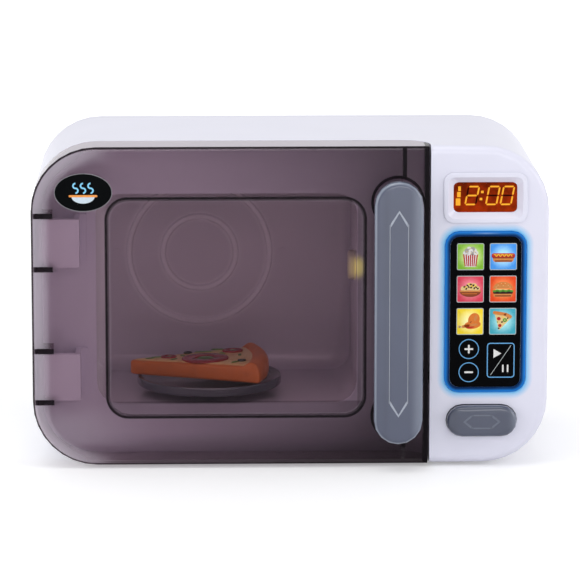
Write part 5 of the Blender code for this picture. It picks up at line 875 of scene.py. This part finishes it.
def tile_paint(name, rim, heart, centre):
    """A picture's ground, paler towards its middle, lit from behind."""
    finish = Finish(name, rim, 0.3, {"Emission Strength": 0.16, "Specular IOR Level": 0.1})
    away = finish.ranged(finish.distance(centre), 1.0 * MM, 8.5 * MM, 1.0, 0.0, "SMOOTHSTEP")
    speck = finish.ranged(finish.noise(900.0), 0.3, 0.7, -0.06, 0.06)
    paint = finish.mixed(finish.maths("ADD", away, speck), rim, heart)
    finish.feed("Base Color", paint)
    finish.feed("Emission Color", paint)
    return finish


def ring_paint(name):
    """The ring's blue, brighter towards its outer rim where the light leaves it, with a painted glint along
    its top.
    """
    blue = colours().ring
    finish = Finish(name, blue, 0.14, {"Emission Strength": 1.0, "Specular IOR Level": 0.06})
    low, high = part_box("light_ring")
    away = finish.rim_distance(low, high, RING_CORNER)
    outer = finish.soft(away, -2.5 * MM, -0.4 * MM)
    cloud = finish.ranged(finish.noise(60.0), 0.3, 0.7, -0.08, 0.08)
    factor = finish.maths("ADD", outer, cloud)
    finish.feed("Base Color", finish.mixed(factor, scaled(blue, 0.3), blue))
    # A painted glint along the ring's top, given as emission.
    glint = finish.both(finish.near(finish.part("X"), (low.x + high.x) / 2, 2 * MM, 14 * MM),
                        finish.near(finish.part("Z"), high.z - 1.1 * MM, 0.1 * MM, 1.1 * MM), 0.75)
    light = finish.mixed(factor, (0.0, 0.004, 0.020), (0.009, 0.125, 0.36))
    finish.feed("Emission Color", finish.mixed(glint, light, (0.55, 0.70, 0.76)))
    return finish


def panel_gloss(name):
    """Black printed gloss with faint dust in its sheen."""
    finish = Finish(name, (0.001, 0.001, 0.0015), 0.16, {"Specular IOR Level": 0.02})
    dust = finish.mixed(finish.noise(300.0), (0.0008, 0.0008, 0.0012), (0.0022, 0.0022, 0.003))
    finish.feed("Base Color", dust)
    finish.feed("Roughness", finish.ranged(finish.noise(500.0), 0.35, 0.7, 0.12, 0.24))
    return finish


class PanelOperator(bpy.types.Operator):
    """Print the touch panel and light its ring"""

    bl_idname = "toy_microwave.panel"
    bl_label = "Touch panel"

    def execute(self, context):
        dress(["touch_panel"], known("panel_gloss", panel_gloss))
        dress(["light_ring"], known("ring_paint", ring_paint))
        for picture in PICTURES:
            self.picture(*picture)
        self.controls()
        return {"FINISHED"}

    def picture(self, name, column, row, rim, heart, shapes):
        """One food picture in its pale frame."""
        side = sizes().icon_side
        at = Vector((PANEL_MIDDLE.x + (column - 0.5) * sizes().icon_column + 0.6 * MM, PANEL_FRONT + BITE,
                     PANEL_MIDDLE.z + 13.1 * MM + row * sizes().icon_row))
        used = sorted({shape[1] for shape in shapes})
        finishes = [known("paint_" + name, tile_paint, rim, heart, at)]
        finishes += [known("ink_" + ink, self.ink, INKS[ink]) for ink in ["grey", *used]]
        form = Form()
        form.take(thick(rectangle(side, side, 0.9 * MM), 0.22 * MM, 0.05 * MM), at, 0)
        form.take(thick(outlined(rectangle(side, side, 0.9 * MM), 0.38 * MM), 0.27 * MM), at, 1)
        for kind, ink, across, up, width, height, turn, layer in shapes:
            shape = turned(picture_shape(kind, width * MM, height * MM), turn)
            form.take(thick(shape, (0.27 + 0.03 * layer) * MM), at + mm(across, 0, up), 2 + used.index(ink))
        form.done("picture_" + name, "case", finishes)

    def ink(self, name, colour):
        """Printed ink, faintly lit from behind."""
        return lit(name, colour, scaled(colour, 0.16), 1.0, roughness=0.3,
                   sockets={"Specular IOR Level": 0.1})

    def controls(self):
        """The plus, minus and play and pause marks in their blue outlines."""
        sky = known("ink_sky", self.ink, INKS["sky"])
        white = known("ink_white", self.ink, INKS["white"])
        form = Form()
        left = PANEL_MIDDLE.x - 9.1 * MM
        right = PANEL_MIDDLE.x + 8.9 * MM
        base = PANEL_FRONT + BITE
        plus, minus, play = 67.9 * MM, 54.6 * MM, 61.4 * MM
        for height in (plus, minus):
            circle = outlined(disc(11.4 * MM, steps=40), 0.48 * MM)
            form.take(thick(circle, 0.22 * MM), (left, base, height), 0)
            form.take(thick(rectangle(4.9 * MM, 1.0 * MM, 0.3 * MM), 0.22 * MM), (left, base, height), 1)
        form.take(thick(rectangle(1.0 * MM, 4.9 * MM, 0.3 * MM), 0.23 * MM), (left, base, plus), 1)
        frame_line = outlined(rectangle(15.6 * MM, 20.0 * MM, 1.8 * MM), 0.55 * MM)
        form.take(thick(frame_line, 0.22 * MM), (right, base, play), 0)
        slash = turned(rectangle(20.6 * MM, 0.28 * MM, 0.1 * MM, 1), 56)
        form.take(thick(slash, 0.21 * MM), (right, base, play), 2)
        triangle = turned(disc(5.9 * MM, 5.9 * MM, 3), 30)
        form.take(thick(triangle, 0.23 * MM), (right - 2.6 * MM, base, play + 3.9 * MM), 1)
        for side in (-1, 1):
            bar = rectangle(0.85 * MM, 4.3 * MM, 0.3 * MM)
            form.take(thick(bar, 0.23 * MM), (right + (2.6 + 1.35 * side) * MM, base, play - 4.7 * MM), 1)
        grey = known("ink_grey", self.ink, INKS["grey"])
        form.done("panel_controls", "case", [sky, white, grey])


class ButtonOperator(bpy.types.Operator):
    """Finish the door button and the catch behind it"""

    bl_idname = "toy_microwave.button"
    bl_label = "Door button"

    def execute(self, context):
        # The button's slate with painted highlights and shade, and painted light in its groove line.
        cap = known("button_plastic", slate_with_painted_light, "open_button", 0.8, 0.3, 0.8, -0.8 * MM,
                    (0.15, 0.17, 0.23))
        dress(["open_button"], cap, 40.0)
        dress(["latch_slide"], known("latch_plastic", moulded, (0.62, 0.63, 0.66), 0.3, mottle=0.05))
        dress(["latch_housing"], known("housing_plastic", moulded, (0.20, 0.21, 0.24), 0.4, mottle=0.08))
        self.spring()
        return {"FINISHED"}

    def spring(self):
        """The catch's return spring of round wire, which the catch squeezes against its lug."""
        low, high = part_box("latch_spring")
        wire, turns, steps = 0.4 * MM, 6, 16
        radius = (high.z - low.z) / 2 - wire
        advance = (high.x - low.x - 2 * wire) / (turns * steps)
        coil = bmesh.new()
        section = bmesh.ops.create_circle(coil, cap_ends=True, segments=8, radius=wire)["verts"]
        quarter_turn = Matrix.Rotation(math.radians(90), 3, "X")
        bmesh.ops.rotate(coil, cent=(0, 0, 0), matrix=quarter_turn, verts=section)
        bmesh.ops.translate(coil, vec=(0, 0, radius), verts=section)
        everything = coil.verts[:] + coil.edges[:] + coil.faces[:]
        bmesh.ops.spin(coil, geom=everything, cent=(0, 0, 0), axis=(1, 0, 0), dvec=(advance, 0, 0),
                       angle=math.radians(360 * turns), steps=turns * steps, use_merge=False,
                       use_duplicate=False)
        bmesh.ops.recalc_face_normals(coil, faces=coil.faces[:])
        form = Form()
        at = Vector((low.x + wire, (low.y + high.y) / 2, (low.z + high.z) / 2))
        form.take(coil, at, facing=UP)
        steel = known("spring_steel", metal, (0.50, 0.51, 0.54), 0.25)
        piece = form.done("latch_coil", "case", [steel], 60.0)
        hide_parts("latch_spring")
        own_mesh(piece)


def plate_plastic(name):
    """Dark moulded plastic with turned rings, as the dish has, and its outer wall painted paler as its sheen.
    """
    finish = moulded(name, (0.062, 0.068, 0.084), 0.2, mottle=0.12,
                     sockets={"Coat Weight": 0.4, "Coat Roughness": 0.1})
    away = finish.distance(middle("turntable_plate"), (1.0, 1.0, 0.0))
    flat = finish.ranged(away, 38 * MM, 39 * MM, 1.0, 0.0)
    finish.bumped(finish.both(finish.waves(away, 2.2 * MM), flat), 0.00006)
    # Painted sheen: the outer wall is painted paler.
    rim = finish.ranged(away, 40.8 * MM, 41.2 * MM, 0.0, 0.6)
    finish.feed("Base Color", finish.mixed(rim, finish.base(), (0.12, 0.135, 0.16)))
    return finish


def lamp_glow(name):
    """The yellow lamp lens, brightest at its middle."""
    finish = Finish(name, (0.66, 0.60, 0.50), 0.3, {"Emission Strength": 1.0})
    low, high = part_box("lamp_lens")
    away = finish.distance((low.x, low.y, (low.z + high.z) / 2 - 1 * MM), (0.2, 0.6, 1.0))
    heart = finish.both(finish.soft(away, 9 * MM, 1.0 * MM),
                        finish.ranged(finish.part("X"), low.x, low.x + 4 * MM, 0.3, 1.0))
    finish.feed("Emission Color", finish.shone(heart, (0.18, 0.17, 0.02)))
    finish.feed("Base Color", finish.mixed(finish.noise(400.0), (0.56, 0.52, 0.46), (0.62, 0.58, 0.48)))
    return finish


class CavityOperator(bpy.types.Operator):
    """Finish the lamp, the dish and its drive"""

    bl_idname = "toy_microwave.cavity"
    bl_label = "Lamp and turntable"

    def execute(self, context):
        dress(["lamp_lens"], known("lamp_glow", lamp_glow))
        self.dish()
        nylon = known("gear_nylon", moulded, (0.72, 0.70, 0.62), 0.4, mottle=0.05)
        dress(["turntable_spindle", "idler_gear"], nylon)
        dress(["motor_pinion"], known("pinion_nylon", moulded, (0.75, 0.42, 0.08), 0.4, mottle=0.06))
        dress(["gear_frame"], known("frame_plastic", moulded, (0.24, 0.26, 0.30), 0.42, mottle=0.08))
        dress(["motor"], known("motor_can", metal, (0.60, 0.60, 0.62), 0.3, (1, 0.05, 1)))
        return {"FINISHED"}

    def dish(self):
        """The round dish: a flat floor, a flared rim with a skirt round it, and the hub under it."""
        low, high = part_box("turntable_plate")
        radius = (high.x - low.x) / 2 / MM
        outline = ((0.0, 5.3), (28.0, 5.3), (34.8, 6.2), (radius - 1.6, 8.9), (radius - 0.5, 9.0),
                   (radius, 8.4), (radius, 4.7), (radius - 0.4, 4.1), (radius - 1.4, 4.1),
                   (radius - 1.8, 4.7), (radius - 1.8, 6.4), (28.0, 3.3), (10.0, 3.3), (10.0, 0.0),
                   (6.6, 0.0), (6.6, 2.9), (0.0, 2.9))
        shape = bmesh.new()
        corners = [shape.verts.new((across * MM, 0.0, up * MM)) for across, up in outline]
        edges = [shape.edges.new(pair) for pair in zip(corners, corners[1:])]
        bmesh.ops.spin(shape, geom=corners + edges, cent=(0, 0, 0), axis=(0, 0, 1), dvec=(0, 0, 0),
                       angle=math.radians(360), steps=96, use_merge=True, use_duplicate=False)
        bmesh.ops.remove_doubles(shape, verts=shape.verts[:], dist=WELD_GAP)
        bmesh.ops.recalc_face_normals(shape, faces=shape.faces[:])
        dish = Form()
        dish.take(shape, ((low.x + high.x) / 2, (low.y + high.y) / 2, low.z), facing=UP)
        grey = known("plate_plastic", plate_plastic)
        piece = dish.done("turntable_dish", "turntable", [grey])
        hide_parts("turntable_plate")


def dough(name):
    """Toasted play dough: orange, browner in patches and on the rolled crust."""
    colour = colours().dough
    finish = Finish(name, colour, 0.42, {"Specular IOR Level": 0.4})
    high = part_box("pizza_slice")[1]
    top = finish.ranged(finish.part("Z"), high.z - 4 * MM, high.z, 0.0, 0.25)
    spots = finish.ranged(finish.noise(160.0, 4.0), 0.50, 0.68, 0.0, 0.75)
    toast = finish.most(finish.maths("MULTIPLY", spots, 0.55), finish.maths("MULTIPLY", top, spots))
    finish.feed("Base Color", finish.mixed(toast, colour, scaled(colour, 0.45)))
    finish.feed("Roughness", finish.ranged(finish.noise(500.0), 0.3, 0.7, 0.34, 0.52))
    finish.bumped(finish.noise(420.0, 4.0), 0.00012)
    return finish


def cheese(name):
    """Melted cheese, pale yellow with browner blisters."""
    colour = (0.95, 0.66, 0.26)
    finish = Finish(name, colour, 0.32)
    blisters = finish.ranged(finish.noise(240.0, 3.0), 0.55, 0.72, 0.0, 0.8)
    finish.feed("Base Color", finish.mixed(blisters, colour, (0.62, 0.22, 0.05)))
    finish.bumped(finish.noise(260.0, 3.0), 0.0002)
    return finish


class PizzaOperator(bpy.types.Operator):
    """Model the slice of play pizza on the dish"""

    bl_idname = "toy_microwave.pizza"
    bl_label = "Play pizza"

    def execute(self, context):
        self.low, self.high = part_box("pizza_slice")
        self.tip = Vector((self.low.x, (self.low.y + self.high.y) / 2, self.low.z))
        self.length = self.high.x - self.low.x
        self.apex = 1.9 * MM
        self.half_angle = math.asin((self.high.y - self.low.y) / 2 / (self.length + self.apex))
        base = Form()
        self.slab(base)
        self.risen(base)
        self.crust(base)
        crumb = known("pizza_dough", dough)
        slice_piece = base.done("pizza_dough", "pizza", [crumb], 50.0)
        top = Form()
        self.cheese(top)
        self.risen(top)
        top.done("pizza_cheese", "pizza", [known("pizza_cheese", cheese)], 50.0)
        self.toppings()
        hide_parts("pizza_slice")
        return {"FINISHED"}

    def risen(self, form):
        """Lifts a form towards the crust, where the slice is thicker."""
        for vert in form.mesh.verts:
            along = (vert.co.x - self.low.x) / self.length
            vert.co.z = self.low.z + (vert.co.z - self.low.z) * (0.95 + 0.22 * along)

    def wedge(self, radius, start, tip_radius):
        """A flat slice of a circle whose point lies at the start."""
        shape = disc(2 * radius, steps=96)
        for side in (-1, 1):
            halved(shape, (-math.sin(self.half_angle), side * math.cos(self.half_angle), 0))
        shape.transform(Matrix.Translation((start, 0, 0)))
        points = [v for v in shape.verts if (v.co - Vector((start, 0, 0))).length < 0.0001]
        rounded(shape, points, tip_radius, 6, "VERTICES")
        return shape

    def slab(self, form):
        """The thick plain sides of the slice."""
        shape = thick(self.wedge(self.length - 3.0 * MM, -self.apex, 9.0 * MM), 8.4 * MM)
        rounded(shape, rim_edges(shape), 1.5 * MM, 4)
        form.take(shape, self.tip, facing=UP)

    def crust(self, form):
        """The roll of crust along the outer arc, steep outside, a little lumpy, cut at both ends."""
        reach = self.length + self.apex
        outline = ((-12.5, 0.3), (-1.8, 0.0), (-0.6, 0.5), (0.0, 1.8), (0.1, 4.2), (0.0, 6.6), (-0.4, 8.6),
                   (-1.3, 10.4), (-2.8, 11.7), (-4.7, 12.3), (-6.6, 12.1), (-8.4, 11.2), (-10.2, 10.0),
                   (-12.5, 8.6))
        shape = polygon([(reach + across * MM, up * MM) for across, up in outline])
        shape.transform(Matrix.Rotation(math.radians(90), 4, "X"))
        sweep = self.half_angle + math.radians(0.1)
        bmesh.ops.rotate(shape, cent=(0, 0, 0), matrix=Matrix.Rotation(-sweep, 3, "Z"), verts=shape.verts[:])
        bmesh.ops.delete(shape, geom=shape.faces[:], context="FACES_ONLY")
        bmesh.ops.spin(shape, geom=shape.edges[:], cent=(0, 0, 0), axis=(0, 0, 1), dvec=(0, 0, 0),
                       angle=2 * sweep, steps=26, use_merge=False, use_duplicate=False)
        ends = [e for e in shape.edges if e.is_boundary]
        bmesh.ops.holes_fill(shape, edges=ends, sides=0)
        rounded(shape, ends, 0.9 * MM, 3, clamp_overlap=True)
        bmesh.ops.recalc_face_normals(shape, faces=shape.faces[:])
        for vert in shape.verts:
            outward = Vector((vert.co.x, vert.co.y, 0.0)).normalized()
            away = outward * (reach - 6 * MM) + Vector((0, 0, 6 * MM))
            lump = noise.noise(vert.co * 190.0) * 0.03 + noise.noise(vert.co * 70.0) * 0.04 - 0.03
            vert.co = away + (vert.co - away) * (1.0 + lump)
        form.take(shape, self.tip - Vector((self.apex, 0, 0)), facing=UP)

    def cheese(self, form):
        """The melted top, wavy along its rim."""
        flat = self.wedge(self.length - 8.5 * MM, 2.0 * MM, 6.0 * MM)
        long_edges = [e for e in flat.edges if e.calc_length() > 6 * MM]
        bmesh.ops.subdivide_edges(flat, edges=long_edges, cuts=34, use_grid_fill=False)
        centre = Vector((self.length * 0.55, 0, 0))
        for vert in flat.verts:
            inward = (centre - vert.co).normalized()
            vert.co += inward * (1.0 + 1.2 * noise.noise(vert.co * 260.0)) * 1.0 * MM
        shape = thick(flat, 1.3 * MM, 0.6 * MM, 3)
        form.take(shape, self.tip + mm(0, 0, 7.6), facing=UP)

    def toppings(self):
        """Rings of red pepper with green hearts, dark olives and herb flecks on the cheese."""
        red = known("pepper_red", moulded, (0.38, 0.030, 0.040), 0.25, mottle=0.2, patch=200.0)
        green = known("herb_green", moulded, (0.10, 0.26, 0.04), 0.35, mottle=0.3, patch=300.0)
        olive = known("olive_dark", moulded, (0.030, 0.045, 0.020), 0.25, mottle=0.3, patch=300.0)
        form = Form()
        level = 8.75
        for x, y, width, depth, line in ((46, -5, 27, 25, 7.6), (25, 2.5, 9, 8, 2.4), (62, 15, 12, 11, 3.2)):
            at = self.tip + mm(x, y, level)
            ring = outlined(disc(width * MM, depth * MM, 32), line * MM)
            form.take(thick(ring, 1.0 * MM, 0.4 * MM), at, 0, UP)
            form.take(thick(disc(0.36 * width * MM, 0.34 * depth * MM, 20), 0.9 * MM, 0.3 * MM),
                      at + mm(0.3, -0.4, 0), 1, UP)
        for x, y in ((36, 12.5), (67, -14)):
            at = self.tip + mm(x, y, level)
            form.take(thick(outlined(disc(5.0 * MM, steps=20), 1.5 * MM), 0.9 * MM, 0.3 * MM), at, 2, UP)
        for x, y, long, turn in ((19, 3, 9, 12), (28, -4.5, 5, 40), (33, 5, 4, -50), (45, 14.5, 10, 6),
                                 (55, 20, 11, -8), (63, -17, 5, 40), (66, 3, 4, 80), (56, 9, 4, -35),
                                 (14, 0, 5, 8)):
            leaf = turned(disc(long * MM, 1.9 * MM, 14), turn)
            form.take(thick(leaf, 0.6 * MM, 0.2 * MM), self.tip + mm(x, y, level), 1, UP)
        self.risen(form)
        form.done("pizza_toppings", "pizza", [red, green, olive])


def board_green(name):
    """Green circuit board with paler copper tracks."""
    finish = Finish(name, (0.015, 0.12, 0.04), 0.35)
    upright = finish.node("Mapping", {0: finish.coordinates, "Rotation": (math.radians(90), 0, 0)})
    bricks = finish.node("TexBrick", {"Vector": upright, "Scale": 90.0, "Mortar Size": 0.035,
                                      "Mortar Smooth": 0.2}, "Fac")
    ground = finish.mixed(finish.noise(60.0), (0.010, 0.10, 0.03), (0.02, 0.15, 0.05))
    finish.feed("Base Color", finish.mixed(bricks, ground, (0.10, 0.30, 0.12)))
    finish.bumped(bricks, 0.00004)
    return finish


def cell_wrap(name):
    """A battery's printed wrap: plain steel ends, a copper band and a dark body."""
    body = (0.02, 0.03, 0.09)
    finish = Finish(name, body, 0.25)
    low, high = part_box("battery_1")
    along = finish.ranged(finish.part("X"), low.x, high.x, 0.0, 1.0)
    band = finish.maths("GREATER_THAN", along, 0.72)
    ends = finish.maths("GREATER_THAN", finish.apart(along, 0.5), 0.475)
    print_colour = finish.mixed(band, body, (0.62, 0.26, 0.07))
    rubbed_and_painted_highlight = finish.ranged(finish.noise(300.0), 0.3, 0.7, 0.0, 0.35)
    wear_and_painted_shade = finish.mixed(rubbed_and_painted_highlight, print_colour, (0.10, 0.10, 0.12))
    finish.feed("Base Color", finish.mixed(ends, wear_and_painted_shade, (0.60, 0.60, 0.62)))
    finish.feed("Metallic", ends)
    finish.feed("Roughness", finish.ranged(finish.noise(350.0), 0.3, 0.7, 0.2, 0.34))
    return finish


def speaker_cone(name):
    """A paper cone: rings from its middle and a steel rim."""
    finish = Finish(name, (0.03, 0.03, 0.032), 0.7)
    away = finish.distance(middle("speaker"), FRONT_PLANE)
    rim = finish.maths("GREATER_THAN", away, 16.5 * MM)
    paper = finish.mixed(finish.noise(900.0), (0.02, 0.02, 0.022), (0.05, 0.05, 0.05))
    finish.feed("Base Color", finish.mixed(rim, paper, (0.45, 0.46, 0.48)))
    finish.feed("Metallic", rim)
    finish.bumped(finish.waves(away, 2.4 * MM), 0.0002)
    return finish


class WorksOperator(bpy.types.Operator):
    """Finish the boards, the speaker, the switch and the batteries"""

    bl_idname = "toy_microwave.works"
    bl_label = "Works"

    def execute(self, context):
        dress(["circuit_board", "lamp_board"], known("board_green", board_green))
        dress(["speaker"], known("speaker_cone", speaker_cone))
        dress(["power_switch"], known("switch_black", moulded, (0.018, 0.019, 0.022), 0.35, mottle=0.2))
        dress(["battery_box"], known("box_plastic", moulded, (0.16, 0.17, 0.19), 0.42, mottle=0.08))
        dress(["battery_1", "battery_2", "battery_3"], known("cell_wrap", cell_wrap))
        dress(["battery_contact_left", "battery_contact_right"],
              known("contact_steel", metal, (0.66, 0.66, 0.64), 0.22, (1, 1, 0.1)))
        return {"FINISHED"}


# Stage


class StageOperator(bpy.types.Operator):
    """Set up the pale floor, the soft lamps and the camera"""

    bl_idname = "toy_microwave.stage"
    bl_label = "Stage"

    def execute(self, context):
        self.floor()
        self.sky()
        self.lamp("lamp_above", (-0.25, -0.25, 1.9), (0.0, 0.0, 0.1), 1.7, 1.3, 13.1)
        self.lamp("lamp_front", (0.5, -2.4, 0.75), (0.0, 0.0, 0.09), 1.4, 1.0, 10.8)
        self.lamp("lamp_left", (-1.35, -0.75, 0.45), (0.0, 0.0, 0.09), 0.7, 0.9, 5.0)
        self.lamp("lamp_right", (1.5, -0.5, 0.6), (0.0, 0.0, 0.09), 0.5, 0.9, 6.0)
        self.camera()
        return {"FINISHED"}

    def floor(self):
        """A wide floor that keeps the object's shadow and is otherwise white to the camera."""
        shape = bmesh.new()
        bmesh.ops.create_grid(shape, x_segments=1, y_segments=1, size=8.0)
        bmesh.ops.translate(shape, vec=(0, 0, CAD_BOX[0][2]), verts=shape.verts[:])
        mesh = bpy.data.meshes.new("floor")
        shape.to_mesh(mesh)
        shape.free()
        floor = bpy.data.objects.new("floor", mesh)
        bpy.context.scene.collection.objects.link(floor)
        finish = Finish("floor_paper", (0.86, 0.86, 0.87), 0.6, {"Specular IOR Level": 0.2})
        paper = finish.mixed(finish.noise(12.0, 4.0), (0.85, 0.85, 0.86), (0.87, 0.87, 0.88))
        finish.feed("Base Color", paper)
        finish.bumped(finish.noise(700.0), FINE_BUMP)
        path = finish.tree.nodes.new("ShaderNodeLightPath")
        mirrored = finish.most(path.outputs["Is Glossy Ray"], path.outputs["Is Transmission Ray"])
        seen = finish.maths("MAXIMUM", path.outputs["Is Camera Ray"], mirrored)
        away = finish.ranged(finish.distance((0, 0, 0)), 0.25, 1.1, 0.28, 0.7, "SMOOTHSTEP")
        finish.feed("Emission Strength", finish.maths("MULTIPLY", seen, away))
        finish.shader.inputs["Emission Color"].default_value = (1.0, 1.0, 1.0, 1.0)
        mesh.materials.append(finish.material)

    def sky(self):
        """Even pale light, pure white only where the camera or a reflection sees it."""
        world = bpy.data.worlds.new("studio")
        bpy.context.scene.world = world
        world.use_nodes = True
        tree = world.node_tree
        soft = tree.nodes["Background"]
        soft.inputs["Color"].default_value = (0.97, 0.98, 1.0, 1.0)
        soft.inputs["Strength"].default_value = 0.50
        bright = tree.nodes.new("ShaderNodeBackground")
        bright.inputs["Color"].default_value = (1.0, 1.0, 1.0, 1.0)
        path = tree.nodes.new("ShaderNodeLightPath")
        mix = tree.nodes.new("ShaderNodeMixShader")
        last = path.outputs["Is Camera Ray"]
        for name in ("Is Glossy Ray", "Is Transmission Ray"):
            either = tree.nodes.new("ShaderNodeMath")
            either.operation = "MAXIMUM"
            tree.links.new(last, either.inputs[0])
            tree.links.new(path.outputs[name], either.inputs[1])
            last = either.outputs[0]
        tree.links.new(last, mix.inputs[0])
        tree.links.new(soft.outputs[0], mix.inputs[1])
        tree.links.new(bright.outputs[0], mix.inputs[2])
        tree.links.new(mix.outputs[0], tree.nodes["World Output"].inputs["Surface"])

    def lamp(self, name, place, target, width, height, power):
        """A soft panel lamp that points at the object."""
        light = bpy.data.lights.new(name, "AREA")
        light.shape = "RECTANGLE"
        light.size = width
        light.size_y = height
        light.energy = power
        lamp = bpy.data.objects.new(name, light)
        lamp.location = place
        lamp.rotation_euler = (Vector(target) - Vector(place)).to_track_quat("-Z", "Y").to_euler()
        bpy.context.scene.collection.objects.link(lamp)

    def camera(self):
        """The camera, a little above the object and a little to its left, with a long lens."""
        pitch, yaw, away = math.radians(10.6), math.radians(-1.4), 2.083
        target = Vector((-0.0003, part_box("badge_plate")[0].y + 0.4 * MM, 0.1022))
        ahead = Vector((-math.sin(yaw) * math.cos(pitch), math.cos(yaw) * math.cos(pitch), -math.sin(pitch)))
        data = bpy.data.cameras.new("camera")
        data.lens = 230.9
        data.sensor_width = 36.0
        data.clip_end = 40.0
        camera = bpy.data.objects.new("camera", data)
        camera.location = target - ahead * away
        camera.rotation_euler = (math.radians(90) - pitch, 0.0, yaw)
        bpy.context.scene.collection.objects.link(camera)
        bpy.context.scene.camera = camera


OPERATORS = (CaseOperator, RearMarksOperator, DoorOperator, DisplayOperator, PanelOperator, ButtonOperator,
             CavityOperator, PizzaOperator, WorksOperator, StageOperator)


class ToyMicrowavePanel(bpy.types.Panel):
    """The sidebar list of the toy's pieces"""

    bl_idname = "VIEW3D_PT_toy_microwave"
    bl_label = "Toy Microwave"
    bl_space_type = "VIEW_3D"
    bl_region_type = "UI"
    bl_category = "Toy Microwave"

    def draw(self, context):
        layout = self.layout
        for group in (context.scene.toy_microwave_sizes, context.scene.toy_microwave_colours):
            box = layout.box()
            for name in group.__annotations__:
                box.prop(group, name)
        for operator in OPERATORS:
            layout.operator(operator.bl_idname)


CLASSES = (ToyMicrowaveSizes, ToyMicrowaveColours, *OPERATORS, ToyMicrowavePanel)


def register():
    """Makes the classes and the settings known to Blender."""
    for item in CLASSES:
        bpy.utils.register_class(item)
    bpy.types.Scene.toy_microwave_sizes = PointerProperty(type=ToyMicrowaveSizes)
    bpy.types.Scene.toy_microwave_colours = PointerProperty(type=ToyMicrowaveColours)


def unregister():
    """Takes the settings and the classes away again."""
    del bpy.types.Scene.toy_microwave_colours
    del bpy.types.Scene.toy_microwave_sizes
    for item in reversed(CLASSES):
        bpy.utils.unregister_class(item)


def main():
    """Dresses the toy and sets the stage."""
    register()
    scene = bpy.context.scene
    scene.view_settings.view_transform = "Standard"
    for plain in list(bpy.data.materials):
        bpy.data.materials.remove(plain)
    for operator in OPERATORS:
        group, name = operator.bl_idname.split(".")
        getattr(getattr(bpy.ops, group), name)()


if __name__ == "__main__":
    main()
